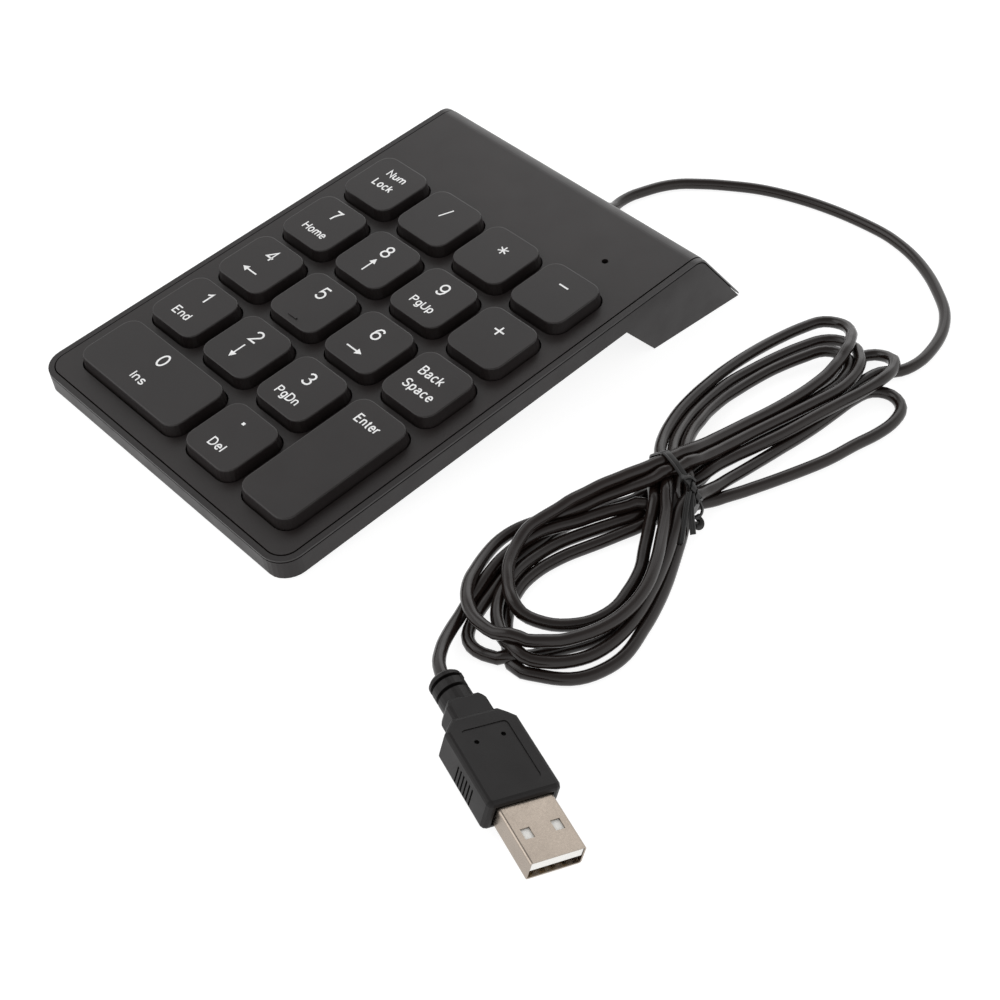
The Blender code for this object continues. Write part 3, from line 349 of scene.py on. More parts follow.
# key: arrow as (tail, tip)
ARROWS = {
    "key_8": ((-9.7, 14.3), (-9.7, 19.0)), "key_4": ((-26.6, -3.0), (-31.3, -3.0)),
    "key_6": ((6.4, -3.7), (11.2, -3.7)), "key_2": ((-10.3, -19.0), (-10.3, -23.7)),
}
ARROW_SHAFT = 0.38
ARROW_HEAD = (1.8, 1.6)                    # width and length
INK_DEPTH = 0.02
INK_STEP = 0.002                           # each stroke lies this much higher than the one before
SHARPEST_MITRE = 0.45


def add_stroke(bm, points, width, top):
    """A ribbon of ink along a centreline, mitred at its corners."""
    path = np.array(points, dtype=float)
    keep = np.concatenate([[True], np.linalg.norm(np.diff(path, axis=0), axis=1) > 1e-4])
    path = path[keep]
    closed = np.linalg.norm(path[0] - path[-1]) < 1e-3
    along = np.diff(path, axis=0)
    along /= np.linalg.norm(along, axis=1)[:, None]
    before = np.vstack([along[-1:] if closed else along[:1], along])
    after = np.vstack([along, along[:1] if closed else along[-1:]])
    side = np.stack([-(before + after)[:, 1], (before + after)[:, 0]], axis=1)
    side /= np.linalg.norm(side, axis=1)[:, None]
    lean = (side * np.stack([-before[:, 1], before[:, 0]], axis=1)).sum(axis=1)
    lean = np.clip(lean, SHARPEST_MITRE, 1.0)
    reach = side * (width / 2 / lean)[:, None]
    left, right = path + reach, path - reach
    rows = [[bm.verts.new((x * MM, y * MM, z * MM)) for x, y, z in (
        (*left[k], top), (*right[k], top), (*right[k], top - INK_DEPTH), (*left[k], top - INK_DEPTH))]
        for k in range(len(path))]
    for first, second in zip(rows, rows[1:]):
        for k in range(4):
            bm.faces.new((first[k], first[(k + 1) % 4], second[(k + 1) % 4], second[k]))
    bm.faces.new(rows[0])
    bm.faces.new(rows[-1])


def add_arrow(bm, tail, tip, top):
    """An arrow of ink, its shaft a stroke and its head a triangle just above it."""
    tail, tip = np.array(tail), np.array(tip)
    along = (tip - tail) / np.linalg.norm(tip - tail)
    side = np.array((-along[1], along[0]))
    width, length = ARROW_HEAD
    neck = tip - along * length
    add_stroke(bm, [tuple(tail), tuple(neck + along * 0.02)], ARROW_SHAFT, top)
    corners = (neck + side * width / 2, tip, neck - side * width / 2)
    rings = [[bm.verts.new((x * MM, y * MM, z * MM)) for x, y in corners]
             for z in (top + INK_STEP, top - INK_DEPTH)]
    bm.faces.new(rings[0])
    bm.faces.new(rings[1])
    for k in range(3):
        bm.faces.new((rings[0][k], rings[0][(k + 1) % 3], rings[1][(k + 1) % 3], rings[1][k]))


def word_strokes(text, left, right, baseline, capital, stroke):
    """A word's strokes, stretched so that its ink runs from left to right."""
    x, parts = 0.0, []
    for letter in text:
        width, strokes = GLYPHS[letter]
        parts += [[(x + px, py) for px, py in points] for points in strokes]
        x += width + LETTER_GAP
    total = max(x - LETTER_GAP, 0.02)
    stretch = (right - left - stroke) / total
    rise = capital - stroke
    return [[(left + stroke / 2 + px * stretch, baseline + stroke / 2 + py * rise) for px, py in points]
            for points in parts]


def make_legends():
    """One piece of raised ink on each key that has a legend."""
    for key in sorted({*WORDS, *SIGNS, *ARROWS}):
        bm = bmesh.new()
        top = INK_DEPTH
        for text, left, right, baseline, capital, stroke in WORDS.get(key, ()):
            for points in word_strokes(text, left, right, baseline, capital, stroke):
                add_stroke(bm, points, stroke, top)
                top += INK_STEP
        for first, second, stroke in SIGNS.get(key, ()):
            add_stroke(bm, [first, second], stroke, top)
            top += INK_STEP
        if key in ARROWS:
            add_arrow(bm, *ARROWS[key], top)
        mesh = finished(bm)
        mesh.transform(DECK @ Matrix.Translation((0.0, 0.0, CAP_TOP)))
        piece = add_object(f"legend_{key}", mesh, INK)
        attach(piece, key)


# --- cord ----------------------------------------------------------------------------------------------

# points of the cord's centreline, in millimetres, given fold by fold
CORD_ROUTE = (
    # out of the rear wall and round to the hank
    (0.0, 65.1, 4.8), (0.0, 66.2, 4.3), (0.0, 67.4, 3.5), (0.0, 68.5, 2.75), (-0.2, 69.7, 2.1),
    (-0.6, 71.1, 1.65), (-1.1, 72.7, 1.42), (-1.3, 74.6, 1.4), (-1.2, 77.5, 1.4), (-0.6, 80.2, 1.4),
    (1.1, 85.8, 1.4),
    (3.6, 90.4, 1.4), (7.1, 94.1, 1.4), (10.9, 97.5, 1.4), (19.1, 103.4, 1.4), (28.7, 107.6, 1.4),
    (39.5, 110.3, 1.4), (50.8, 111.4, 1.4), (57.6, 110.7, 1.4), (63.8, 108.9, 1.4), (70.5, 105.6, 1.4),
    (76.5, 101.4, 1.4), (80.8, 97.7, 1.4), (83.9, 93.4, 1.4), (86.0, 88.9, 1.4), (87.4, 83.5, 1.4),
    (87.9, 78.6, 1.4), (87.0, 73.5, 1.4),
    # first pass through the waist and the outer front turn
    (84, 69.5, 1.4), (83, 64, 1.4), (82.5, 57, 1.4), (81.5, 48, 1.4), (80, 37.5, 1.4), (79, 28, 1.4),
    (78, 19, 1.4), (79, 12, 1.4), (80, 3, 1.4), (80, -4.5, 1.4), (78, -14, 1.4), (75.5, -23, 1.4),
    (74.5, -31, 1.4), (75.5, -36.5, 1.4), (78.5, -41.5, 1.4), (83, -46, 1.4), (89, -49, 1.4),
    (94.5, -47.5, 1.4), (99.5, -44, 1.4), (102, -39, 1.4), (102.5, -32.5, 1.4), (100, -24.5, 1.4),
    (96.5, -16, 1.4), (92, -8, 1.6), (87.5, -0.5, 2), (83.5, 5, 2.8), (79, 9.5, 4.1),
    # first rear turn
    (74, 14.5, 4.5), (70.5, 19.5, 3.6), (68.5, 25.5, 2.8), (66.5, 32.5, 1.8), (66.5, 41.5, 1.4),
    (67.5, 51, 1.4), (69.5, 59, 1.4), (71.5, 64, 1.4), (74.5, 66.5, 1.4), (78, 65, 1.4),
    (80.5, 61, 1.4), (81.5, 55, 1.4), (80.5, 46, 1.5), (79.5, 36.5, 2), (78.5, 28, 3), (78.5, 19, 4),
    # second front turn
    (78.5, 12, 4.6), (77.5, 5.5, 4.1), (76, -0.5, 3), (72, -8.5, 1.6), (70, -18, 1.4),
    (70, -26.5, 1.4), (71, -33.5, 1.4), (73, -40, 1.4), (75, -45.5, 1.4), (77.5, -50, 1.4),
    (80.5, -52.5, 1.4), (84, -52, 1.4), (87.5, -49.5, 1.4), (91, -45.5, 1.4), (93.5, -40, 1.4),
    (96, -34, 1.4), (96.5, -27, 1.4), (95, -19.5, 1.4), (91.5, -12, 1.4), (87.5, -5.5, 1.6),
    (83, 0.5, 2.5), (79.5, 5.5, 3.8),
    # second rear turn
    (73.5, 11.5, 4.4), (69.5, 17.5, 3.6), (66, 25, 2.6), (64.5, 32, 2), (63.5, 41, 1.6), (64, 49, 1.4),
    (65, 56.5, 1.4), (66.5, 63.5, 1.4), (68.5, 69, 1.4), (72, 71, 1.8), (76.5, 69.5, 3),
    (80.5, 65.5, 4.1), (82.5, 61, 4.1), (83.5, 55, 4.1), (82.5, 47, 4.1), (81, 38, 4.1),
    (79.5, 28.5, 4.3), (78.5, 18, 5),
    # third front turn
    (78, 12, 6), (77, 4, 6.5), (74, -2, 5), (71.5, -8, 4.2), (70, -15, 4.1), (66.5, -20.5, 2.5),
    (64.5, -25.5, 1.8), (64.5, -31, 1.6), (67, -38, 2.2), (70.5, -44, 3.4), (74, -47.5, 4.1),
    (78, -49.5, 4.1), (82.5, -50, 4.1), (87, -48.5, 4.1), (91, -45.5, 4.1), (94.5, -41, 4.1),
    (97, -34, 4.1), (97.5, -27, 4.1), (96, -19.5, 4.1), (92.5, -12.5, 4.1), (88.5, -6.5, 4.1),
    (84, 0, 4.3), (79.5, 5, 4.8),
    # third rear turn
    (74.5, 9, 4.6), (71, 11.5, 4.2), (67.5, 17, 3.4), (64.5, 24.5, 3), (62.5, 33, 2.6), (61, 41, 2),
    (60.5, 50, 1.6), (61, 59, 1.4), (62.5, 67.5, 1.4), (64.5, 73, 1.4), (67.5, 75, 1.6),
    (72, 73.5, 2.6), (76, 68.5, 4.1), (78, 63, 4.4), (79.5, 54.5, 4.4), (79.5, 42.5, 4.4),
    (78.5, 30.5, 4.6), (78, 19.5, 5.5),
    # fourth front turn, the inner one
    (77.5, 13, 6.8), (76, 5.5, 7.2), (74.5, 1, 6.8), (71.5, -6.5, 6), (70, -13.5, 5.2), (69, -20, 4.8),
    (68.5, -25.5, 4.4), (70, -30.5, 4.1), (72.5, -35, 4.1), (76, -38.5, 4.1), (80, -41, 4),
    (83, -41, 2.6), (86.5, -39, 1.6), (89.5, -36.5, 1.4), (92.5, -32, 1.4), (93.5, -26.5, 1.4),
    (92.5, -21, 1.4), (90.5, -15.5, 1.4), (86.5, -10, 1.6), (83, -5, 2), (79.5, 0, 3.2),
    (76.5, 4, 4.4), (75, 9.5, 4.2),
    # fourth rear turn
    (75.5, 15, 3), (77, 23, 1.8), (78.5, 33.5, 1.4), (80, 43, 1.4), (80.5, 52.5, 1.4), (80, 59.5, 1.4),
    (78.5, 64, 1.4), (77.8, 68.5, 1.4), (78.8, 72.4, 1.4), (82, 74.2, 1.8), (85.8, 72, 3), (88, 67, 4.1),
    (87.7, 59.5, 4.1), (86.5, 51.5, 4.1), (85.5, 44, 4.1), (84.5, 35.5, 4.1), (83, 27.5, 4.1),
    (81.5, 19.5, 4.1), (81.5, 13.5, 4.1),
    # fifth front turn
    (81, 9.5, 3), (79, 4, 1.6), (78.5, -3, 1.4), (75.5, -12, 1.4), (73, -21, 1.4), (72.5, -29, 1.4),
    (73.5, -34.5, 1.4), (76, -40, 1.4), (79, -44, 1.4), (84, -47.5, 1.4), (88.5, -48.5, 1.4),
    (93, -47.5, 1.6), (96.5, -44, 1.6), (99, -39, 1.6), (99.5, -32.5, 1.6), (98, -25, 1.6),
    (95, -18, 1.6), (91.5, -10, 1.8), (87.5, -3, 2.2), (84.5, 2, 3),
    # fifth rear turn
    (84, 6, 3), (84.5, 11, 2), (84.5, 16.5, 1.4), (85, 24, 1.4), (85.5, 33.5, 1.4), (86, 42.5, 1.4),
    (86, 51, 1.4), (86, 57.5, 1.4), (87.2, 62.6, 1.4), (90.8, 65.3, 1.4), (94.6, 63.4, 1.4),
    (96.6, 58.5, 1.4), (96.6, 52.5, 1.4), (95.5, 46, 1.4), (94.5, 38.5, 1.4), (92.5, 30.5, 1.4),
    (90, 22, 1.4), (87.5, 14.5, 1.4), (85, 8, 1.4),
    # and out to the plug
    (82.5, 2.5, 1.4), (77.5, -2, 1.4), (73.5, -10, 1.4), (70.5, -18.5, 1.4), (69, -27, 1.4),
    (69.5, -33.5, 1.4), (71, -39.5, 1.4), (72.5, -45, 1.4), (74.2, -49.5, 1.7), (76.2, -54, 2.7),
    (78.8, -58.4, 4.0), (82.0, -62.0, 5.3), (85.6, -64.2, 6.0), (88.5, -65.2, 6.1),
)
CURVE_STEPS = 20                           # between two points of a route

# How the strands settle on each other. Each share is the part of a fault that one round puts right.
POINT_SPACING = 1.6 * MM
TIGHTEST_BEND = 5.6 * MM
SETTLE_ROUNDS = 500
CALM_ROUNDS = 120                          # at the end, while all smoothing is weaker
CALM_SHARE = 0.25
SEARCH_ROUNDS = 10                         # from one search for near points to the next
HELD_AT_START, HELD_AT_END = 16, 8         # points that stay where they are
SAME_STRAND = 6                            # points this near along the cord don't push each other
NEAR_DIAMETERS = 1.6
PUSH_SHARE = 0.8
HOME_SHARE = np.array((0.012, 0.012, 0.005))
CURVE_SHARE = 0.08
DRIFT_SHARE = 0.2
WAVE_SHARE = np.array((0.12, 0.12, 0.3))
WAVE_REACH = 4
SPACING_SHARE = 0.25
BEND_SHARE = 0.3
BEND_REACH = 2
TINY = 1e-9


def smooth_route(points, spacing):
    """Evenly spaced points of a smooth curve through a route's own points."""
    nodes = np.array(points, dtype=float) * MM
    nodes = np.vstack([2 * nodes[0] - nodes[1], nodes, 2 * nodes[-1] - nodes[-2]])
    t = (np.arange(CURVE_STEPS) / CURVE_STEPS)[:, None]
    fine = []
    for a, b, c, d in zip(nodes, nodes[1:], nodes[2:], nodes[3:]):
        fine.append(0.5 * (2 * b + (c - a) * t + (2 * a - 5 * b + 4 * c - d) * t ** 2
                           + (3 * b - a - 3 * c + d) * t ** 3))
    fine = np.vstack(fine + [nodes[-2:-1]])
    run = np.concatenate([[0.0], np.cumsum(np.linalg.norm(np.diff(fine, axis=0), axis=1))])
    even = np.linspace(0.0, run[-1], int(round(run[-1] / spacing)) + 1)
    return np.stack([np.interp(even, run, fine[:, axis]) for axis in range(3)], axis=1)


def near_pairs(points, diameter):
    """Pairs of points that are close in space, but not neighbours along the cord."""
    order = np.arange(len(points))
    gap = points[:, None, :] - points[None, :, :]
    near = (gap ** 2).sum(axis=2) < (NEAR_DIAMETERS * diameter) ** 2
    return np.nonzero(near & (order[None, :] - order[:, None] > SAME_STRAND))


def pushes(points, first, second, diameter):
    """Moves that part the strands that cut into each other, shared by all that touch a point."""
    count = len(points)
    gap = points[first] - points[second]
    distance = np.sqrt((gap ** 2).sum(axis=1)) + TINY
    push = (np.maximum(diameter - distance, 0.0) / distance)[:, None] * gap
    touching = (distance < diameter).astype(float)
    touches = np.bincount(first, touching, count) + np.bincount(second, touching, count)
    move = np.stack([np.bincount(first, along, count) - np.bincount(second, along, count)
                     for along in push.T], axis=1)
    return PUSH_SHARE * move / np.maximum(touches, 1)[:, None]


def bow(values, reach):
    """How far each value is from midway between the two that are reach places before and after it."""
    return (values[:-2 * reach] + values[2 * reach:]) / 2 - values[reach:-reach]


def stretches(points, step):
    """Moves that bring each link of the cord back to its length."""
    link = np.diff(points, axis=0)
    size = np.linalg.norm(link, axis=1)[:, None]
    return SPACING_SHARE * (size - step) / size * link


def eased_bends(points):
    """Moves that open the bends that are tighter than the cord can take."""
    half = np.linalg.norm(points[2 * BEND_REACH:] - points[:-2 * BEND_REACH], axis=1) / 2
    half = np.minimum(half, 0.98 * TIGHTEST_BEND)
    most = TIGHTEST_BEND - np.sqrt(TIGHTEST_BEND ** 2 - half ** 2)
    bend = bow(points, BEND_REACH)
    size = np.sqrt((bend ** 2).sum(axis=1)) + TINY
    return BEND_SHARE * (np.maximum(size - most, 0.0) / size)[:, None] * bend


def settle(points, diameter):
    """Lets a cord's strands push each other apart, without leaving the ground or their route."""
    home = points.copy()
    weight = np.ones((len(points), 1))
    weight[:HELD_AT_START] = 0.0
    weight[-HELD_AT_END:] = 0.0
    step = np.linalg.norm(np.diff(points, axis=0), axis=1).mean()
    for turn in range(SETTLE_ROUNDS):
        if turn % SEARCH_ROUNDS == 0:
            first, second = near_pairs(points, diameter)
        calm = 1.0 if turn < SETTLE_ROUNDS - CALM_ROUNDS else CALM_SHARE
        drift = points - home
        move = pushes(points, first, second, diameter)
        move += HOME_SHARE * (home - points)
        move[1:-1] += CURVE_SHARE * calm * bow(points, 1)
        move[1:-1] += DRIFT_SHARE * calm * bow(drift, 1)
        move[WAVE_REACH:-WAVE_REACH] += calm * bow(drift, WAVE_REACH) * WAVE_SHARE
        stretch = stretches(points, step)
        move[:-1] += stretch
        move[1:] -= stretch
        ease = eased_bends(points)
        move[BEND_REACH:-BEND_REACH] += ease
        move[:-2 * BEND_REACH] -= ease / 2
        move[2 * BEND_REACH:] -= ease / 2
        points = points + weight * move
        points[:, 2] = np.maximum(points[:, 2], diameter / 2)
    return points


def make_cord(route, tie):
    """The whole cord as one tube along its settled route."""
    curve = bpy.data.curves.new("cord", "CURVE")
    curve.dimensions = "3D"
    curve.bevel_depth = CORD_RADIUS
    curve.bevel_resolution = 5
    curve.use_fill_caps = True
    spline = curve.splines.new("POLY")
    spline.points.add(len(route) - 1)
    for point, place in zip(spline.points, route):
        point.co = (*place, 1.0)
    spline.use_smooth = True
    cord = add_object("cord", curve, JACKET)
    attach(cord, "case")
    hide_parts("cord_lead", "cord_hank", "cord_plug_lead")


# --- rubber domes under the keys -----------------------------------------------------------------------

# heights are in millimetres from the deck's top
SHEET_BOTTOM, SHEET_TOP = -3.5, -3.2
SHEET_CORNER = 2.0
DOME_TOP = -1.2
DOME_FOOT_RADIUS = 2.5
DOME_LOW_RADIUS = 2.3
DOME_HIGH_RADIUS = 2.0
DOME_HEAD_RADIUS = 1.6
DOME_WALL = 0.22
DOME_CAP = 0.25
DOME_STEPS = 20
HOLE_RADIUS = DOME_FOOT_RADIUS - DOME_WALL

# a dome's section as (radius, height), up the outside to the middle and back down the inside
DOME_SECTION = (
    (DOME_FOOT_RADIUS, SHEET_TOP - 0.12), (DOME_FOOT_RADIUS, SHEET_TOP + 0.15), (DOME_LOW_RADIUS, -2.4),
    (DOME_HIGH_RADIUS, -1.6), (DOME_HEAD_RADIUS, DOME_TOP - 0.12), (DOME_HEAD_RADIUS - 0.15, DOME_TOP),
    (0.0, DOME_TOP), (0.0, DOME_TOP - DOME_CAP),
    (DOME_HEAD_RADIUS - DOME_WALL - 0.1, DOME_TOP - DOME_CAP), (DOME_HIGH_RADIUS - DOME_WALL, -1.75),
    (DOME_LOW_RADIUS - DOME_WALL, -2.5), (HOLE_RADIUS, SHEET_TOP - 0.12),
)


def key_centre(name):
    """The middle of a key in the deck's plan, in millimetres."""
    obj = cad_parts[name]
    turn = DECK.inverted() @ obj.matrix_world
    places = [turn @ vertex.co for vertex in obj.data.vertices]
    return tuple((min(p[k] for p in places) + max(p[k] for p in places)) / 2 / MM for k in (0, 1))


def make_dome(key, x, v):
    """A hollow cone of thin rubber in its resting shape; the real dome folds flat as its key goes down."""
    bm = bmesh.new()
    turns = [2 * math.pi * k / DOME_STEPS for k in range(DOME_STEPS)]
    rings = []
    for radius, z in DOME_SECTION:
        around = turns if radius else turns[:1]
        rings.append([bm.verts.new(((x + radius * math.cos(turn)) * MM, (v + radius * math.sin(turn)) * MM,
                                    z * MM)) for turn in around])
    for first, second in zip(rings, rings[1:] + rings[:1]):
        for k in range(DOME_STEPS):
            corners = [first[k % len(first)], first[(k + 1) % len(first)],
                       second[(k + 1) % len(second)], second[k % len(second)]]
            face = [corner for n, corner in enumerate(corners) if corner not in corners[:n]]
            if len(face) > 2:
                bm.faces.new(face)
    mesh = finished(bm)
    mesh.transform(DECK)
    dome = smooth(add_object(f"dome_{key}", mesh, DOME_RUBBER), 40.0)
    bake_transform(dome)
    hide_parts("rubber_dome_sheet")


def rounded_sheet(low, high):
    """A flat sheet between two corners of the deck's plan, in metres, with round corners."""
    middle = (SHEET_BOTTOM + SHEET_TOP) / 2 * MM
    bm = bmesh.new()
    bmesh.ops.create_cube(bm, size=1.0)
    bmesh.ops.transform(bm, verts=bm.verts, matrix=Matrix.LocRotScale(
        Vector(((low[0] + high[0]) / 2, (low[1] + high[1]) / 2, middle)), None,
        Vector((high[0] - low[0], high[1] - low[1], (SHEET_TOP - SHEET_BOTTOM) * MM))))
    upright = [edge for edge in bm.edges if abs(edge.verts[0].co.z - edge.verts[1].co.z) > 0.1 * MM]
    bmesh.ops.bevel(bm, geom=upright, offset=SHEET_CORNER * MM, segments=3, affect="EDGES", profile=0.5)
    return add_object("dome_sheet", finished(bm), DOME_RUBBER)


def cut_holes(sheet, centres):
    """Opens a sheet under each dome."""
    middle = (SHEET_BOTTOM + SHEET_TOP) / 2 * MM
    bm = bmesh.new()
    for x, v in centres:
        bmesh.ops.create_cone(bm, cap_ends=True, segments=DOME_STEPS, radius1=HOLE_RADIUS * MM,
                              radius2=HOLE_RADIUS * MM, depth=2.0 * MM,
                              matrix=Matrix.Translation((x * MM, v * MM, middle)))
    cutter = add_object("dome_holes", finished(bm))
    modifier = sheet.modifiers.new("holes", "BOOLEAN")
    modifier.operation = "DIFFERENCE"
    modifier.solver = "EXACT"
    modifier.object = cutter
    bpy.context.view_layer.update()
    mesh = bpy.data.meshes.new_from_object(sheet.evaluated_get(bpy.context.evaluated_depsgraph_get()))
    sheet.modifiers.clear()
    bpy.data.objects.remove(cutter)
    sheet.data = mesh


def make_dome_sheet():
    """The flat rubber sheet, open under each key, and the domes that stand on it."""
    keys = [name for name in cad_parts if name.startswith("key_") and name != "key_guide"]
    centres = {name: key_centre(name) for name in keys}
    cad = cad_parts["rubber_dome_sheet"]
    turn = DECK.inverted() @ cad.matrix_world
    places = [turn @ vertex.co for vertex in cad.data.vertices]
    low = [min(place[k] for place in places) for k in (0, 1)]
    high = [max(place[k] for place in places) for k in (0, 1)]
    sheet = rounded_sheet(low, high)
    cut_holes(sheet, centres.values())
    sheet.data.transform(DECK)
    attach(sheet, "case")
    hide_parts("rubber_dome_sheet")
    for name, (x, v) in centres.items():
        make_dome(name, x, v)


# --- the tie round the hank ----------------------------------------------------------------------------

WAIST = (78.0, 7.0)                        # where the band's plane crosses the hank, and its slope in plan
WAIST_SLOPE = -0.2
WAIST_DEPTH = 1.6                          # how near to that plane a strand shapes the band
WAIST_REACH = 16.0
BAND_CLEARANCE = 0.14                      # from a strand's skin to the middle of the band
BAND_LOWEST = 0.12
BAND_SPACING = 0.5
SECOND_BAND_SHIFT = -0.75

# the tie's strips: each path is in millimetres, and each size is a strip's width and thickness
BAND_SIZE = (1.6, 0.22)
SECOND_BAND_SIZE = (0.55, 0.45)
TWIST_SIZE = (0.7, 1.15)
TWIST_TURNS = 1.6
TWIST_RADIUS = 0.42
TIE_KNOT = ((81.9, 4.7, 9.2), (82.6, 5.1, 10.0), (83.3, 5.9, 10.0), (83.9, 6.6, 9.0))
KNOT_SIZE = (1.5, 0.7)
EYE_SIZE = (0.5, 0.7)
KNOB_SIZE = (1.1, 1.25)
TAIL_WIRE_SIZE = (0.42, 0.5)
TAIL_WEB_SIZE = (0.9, 0.25)
TAIL_WIRE_SHIFT = 0.42
TAIL_SIDE = (0.62, 0.72, 0.25)
BAND_SIDE = (0.2, 0.97, 0.0)
TIE_TWIST = ((82.5, 5.9, 9.6), (83.6, 5.5, 9.3), (84.8, 5.3, 8.5), (85.9, 5.3, 7.4), (87.0, 5.3, 6.2))
TIE_EYE = ((86.9, 5.4, 6.2), (88.0, 5.2, 4.9), (88.3, 4.6, 3.7), (87.8, 3.9, 3.2), (87.4, 3.4, 2.9))
TIE_KNOB = ((87.6, 4.1, 3.1), (88.1, 4.3, 2.6), (88.9, 4.2, 2.2), (89.3, 3.7, 1.8), (89.1, 3.2, 1.6),
            (88.4, 3.0, 1.8), (88.0, 3.4, 2.3))
TIE_TAILS = (((85.3, 3.7, 8.6), (86.7, 1.6, 7.4), (88.6, -1.1, 5.4), (90.9, -4.3, 3.3)),
             ((85.8, 4.0, 8.2), (87.0, 2.7, 7.0), (88.6, 1.3, 5.2), (90.6, -0.2, 2.9)))


# a strip's section, with its corners cut, for a width and a thickness of one
STRIP_SECTION = ((-0.5, -0.3), (-0.35, -0.5), (0.35, -0.5), (0.5, -0.3), (0.5, 0.3), (0.35, 0.5),
                 (-0.35, 0.5), (-0.5, 0.3))


def add_ribbon(bm, path, broad, size, closed=False):
    """A flat strip swept along a path, its broad side kept along a direction."""
    width, depth = size
    path = np.array(path, dtype=float) * MM
    if closed:
        along = np.roll(path, -1, axis=0) - np.roll(path, 1, axis=0)
    else:
        along = np.gradient(path, axis=0)
    along /= np.linalg.norm(along, axis=1)[:, None]
    broad = np.broadcast_to(np.array(broad, dtype=float), along.shape)
    side = broad - (broad * along).sum(axis=1)[:, None] * along
    side /= np.linalg.norm(side, axis=1)[:, None]
    thin = np.cross(along, side)
    rows = [[bm.verts.new(path[k] + side[k] * across * width * MM + thin[k] * up * depth * MM)
             for across, up in STRIP_SECTION] for k in range(len(path))]
    corners = len(STRIP_SECTION)
    pairs = list(zip(rows, rows[1:])) + ([(rows[-1], rows[0])] if closed else [])
    for first, second in pairs:
        for k in range(corners):
            after = (k + 1) % corners
            bm.faces.new((first[k], first[after], second[after], second[k]))
    if not closed:
        bm.faces.new(rows[0])
        bm.faces.new(rows[-1])


def convex_loop(spots):
    """The corners of the tightest loop round some points of a plane."""
    spots = sorted(spots)
    loop = []
    for chain in (spots, spots[::-1]):
        part = []
        for x, z in chain:
            while len(part) > 1 and ((part[-1][0] - part[-2][0]) * (z - part[-2][1])
                                     <= (part[-1][1] - part[-2][1]) * (x - part[-2][0])):
                part.pop()
            part.append((x, z))
        loop += part[:-1]
    return loop


def band_path(route):
    """The tight loop that a band makes round the strands at the waist, in millimetres."""
    points = route / MM
    across = points[:, 1] - WAIST[1] - WAIST_SLOPE * (points[:, 0] - WAIST[0])
    near = points[(np.abs(across) < WAIST_DEPTH) & (np.abs(points[:, 0] - WAIST[0]) < WAIST_REACH)]
    radius = CORD_RADIUS / MM + BAND_CLEARANCE
    spots = set()
    for x, z in near[:, [0, 2]]:
        for turn in np.linspace(0.0, 2 * math.pi, 24, endpoint=False):
            height = max(z + radius * math.sin(turn), BAND_LOWEST)
            spots.add((round(float(x + radius * math.cos(turn)), 3), round(float(height), 3)))
    loop = convex_loop(spots)
    loop = np.array(loop + loop[:1])
    run = np.concatenate([[0.0], np.cumsum(np.linalg.norm(np.diff(loop, axis=0), axis=1))])
    even = np.linspace(0.0, run[-1], int(run[-1] / BAND_SPACING))[:-1]
    x, z = np.interp(even, run, loop[:, 0]), np.interp(even, run, loop[:, 1])
    return np.stack([x, WAIST[1] + WAIST_SLOPE * (x - WAIST[0]), z], axis=1)


def fine_path(points, spacing):
    """Evenly spaced points of a smooth curve through a few points, in millimetres."""
    return smooth_route(points, spacing * MM) / MM


def add_twist(bm):
    """The band's two ends wound round each other."""
    twist = fine_path(TIE_TWIST, 0.2)
    along = np.gradient(twist, axis=0)
    along /= np.linalg.norm(along, axis=1)[:, None]
    first = np.cross(along, (0.0, 0.0, 1.0))
    first /= np.linalg.norm(first, axis=1)[:, None]
    second = np.cross(along, first)
    turns = np.linspace(0.0, 2 * math.pi * TWIST_TURNS, len(twist))[:, None]
    for start in (0.0, math.pi):
        out = first * np.cos(turns + start) + second * np.sin(turns + start)
        add_ribbon(bm, twist + TWIST_RADIUS * out, out, TWIST_SIZE)


def make_tie(route):
    """A flat band round the hank's waist, its ends twisted together into an eye and two cut tails."""
    bm = bmesh.new()
    band = band_path(route)
    add_ribbon(bm, band, BAND_SIDE, BAND_SIZE, closed=True)
    second_band = np.array([(x, y + SECOND_BAND_SHIFT, z + 0.2 * min(z, 1.0)) for x, y, z in band])
    add_ribbon(bm, second_band, BAND_SIDE, SECOND_BAND_SIZE, closed=True)
    add_twist(bm)
    add_ribbon(bm, fine_path(TIE_KNOT, 0.3), (0.9, 0.0, 0.5), KNOT_SIZE)
    add_ribbon(bm, fine_path(TIE_EYE, 0.3), (0.75, 0.35, 0.55), EYE_SIZE)
    add_ribbon(bm, fine_path(TIE_KNOB, 0.2), (0.55, -0.62, 0.55), KNOB_SIZE)
    for tail in TIE_TAILS:
        path = fine_path(tail, 0.5)
        for shift in (-TAIL_WIRE_SHIFT, TAIL_WIRE_SHIFT):
            add_ribbon(bm, path + shift * np.array(TAIL_SIDE), TAIL_SIDE, TAIL_WIRE_SIZE)
        add_ribbon(bm, path, TAIL_SIDE, TAIL_WEB_SIZE)
    tie = smooth(add_object("twist_tie_formed", finished(bm), TIE_PLASTIC), 50.0)
    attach(tie, "case")
    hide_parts("twist_tie")
    return tie


# --- studio --------------------------------------------------------------------------------------------

# (height, brightness) from straight down, at 0, to straight up, at 1
SKY = ((0.0, 1.0), (0.5, 1.1), (0.72, 1.1), (0.8, 1.05), (0.87, 0.7), (0.94, 0.45), (1.0, 0.35))
FLOOR_GLOW = 0.86
FLOOR_SIZE = 3.0
# name, place, size and power
LAMPS = (
    ("key_light", (-0.45, -0.35, 0.75), 0.7, 1.8),
    ("rear_light", (-0.5, 0.9, 0.6), 0.8, 1.6),
)
LAMP_TARGET = Vector((0.03, 0.0, 0.0))


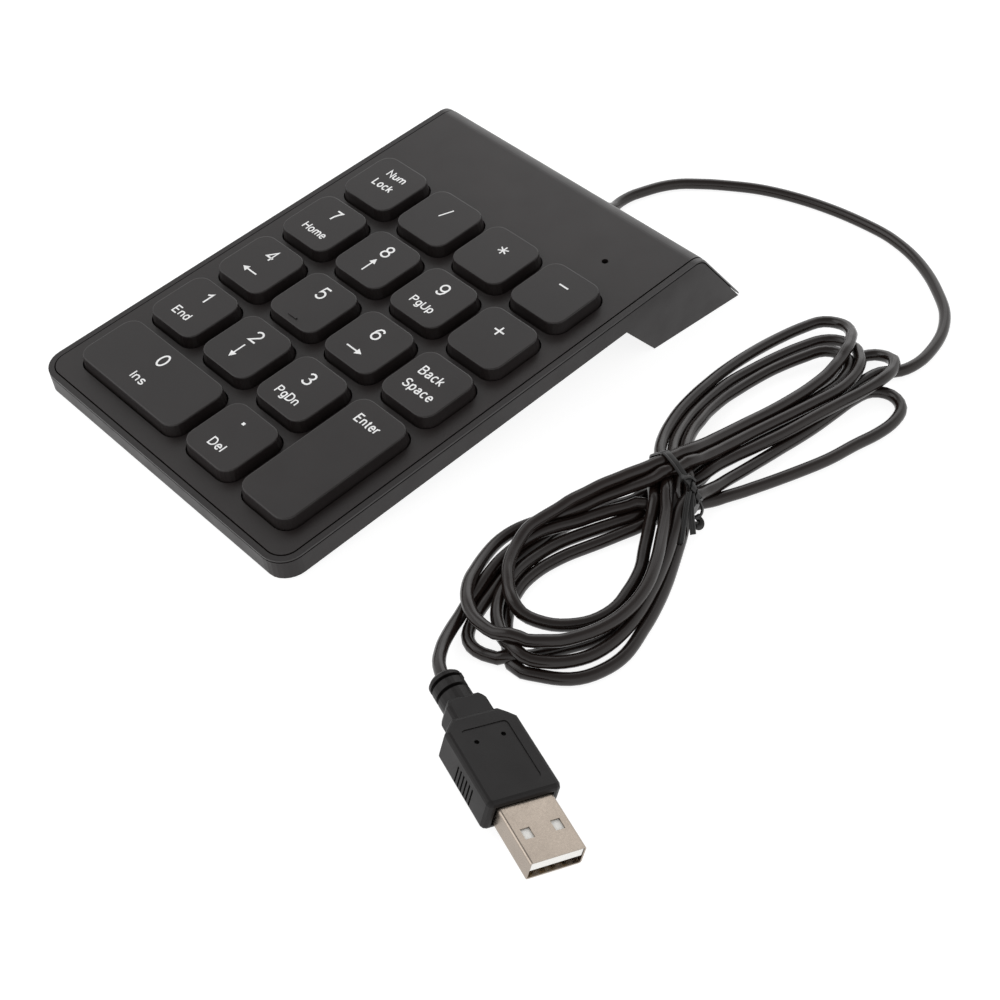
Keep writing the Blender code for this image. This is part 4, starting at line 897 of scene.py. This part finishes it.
def make_world():
    """A white surround that darkens overhead."""
    world = bpy.data.worlds.new("studio")
    world.use_nodes = True
    nodes, links = world.node_tree.nodes, world.node_tree.links
    place = nodes.new("ShaderNodeTexCoord")
    split = nodes.new("ShaderNodeSeparateXYZ")
    links.new(place.outputs["Generated"], split.inputs["Vector"])
    height = spread(nodes, links, split.outputs["Z"], 0.0, 1.0, -1.0, 1.0)
    ramp = nodes.new("ShaderNodeValToRGB")
    ramp.color_ramp.elements.remove(ramp.color_ramp.elements[1])
    for k, (stop, level) in enumerate(SKY):
        part = ramp.color_ramp.elements[0] if k == 0 else ramp.color_ramp.elements.new(stop)
        part.position = stop
        part.color = (level, level, level, 1.0)
    links.new(height, ramp.inputs["Fac"])
    links.new(ramp.outputs["Color"], nodes["Background"].inputs["Color"])
    bpy.context.scene.world = world
    bpy.context.scene.view_settings.view_transform = "Standard"


def make_floor():
    """A pale floor that glows, so that it stays white around the object."""
    mat, nodes, links, shader = new_material("studio_floor")
    slow = spread(nodes, links, noise(nodes, links, FLOOR_COLOUR_DRIFT, 2.0), 0.0, 1.0)
    links.new(blend_colours(nodes, links, slow, (0.3, 0.3, 0.3), (0.32, 0.32, 0.32)),
              shader.inputs["Base Color"])
    shader.inputs["Roughness"].default_value = 0.9
    shader.inputs["Specular IOR Level"].default_value = 0.0
    shader.inputs["Emission Color"].default_value = (1.0, 1.0, 1.0, 1.0)
    shader.inputs["Emission Strength"].default_value = FLOOR_GLOW
    bm = bmesh.new()
    bmesh.ops.create_grid(bm, x_segments=1, y_segments=1, size=FLOOR_SIZE)
    add_object("floor", finished(bm), mat)


def make_lamps():
    """Two soft lamps, one in front on the left and one behind."""
    for name, place, size, power in LAMPS:
        data = bpy.data.lights.new(name, "AREA")
        data.size = size
        data.energy = power
        lamp = bpy.data.objects.new(name, data)
        bpy.context.scene.collection.objects.link(lamp)
        aim = LAMP_TARGET - Vector(place)
        lamp.matrix_world = Matrix.Translation(place) @ aim.to_track_quat("-Z", "Y").to_matrix().to_4x4()


make_camera()
cord_path = settle(smooth_route(CORD_ROUTE, POINT_SPACING), 2 * CORD_RADIUS)
make_cord(cord_path, make_tie(cord_path))
dress_nodes()
make_dome_sheet()
make_legends()
make_world()
make_floor()
make_lamps()
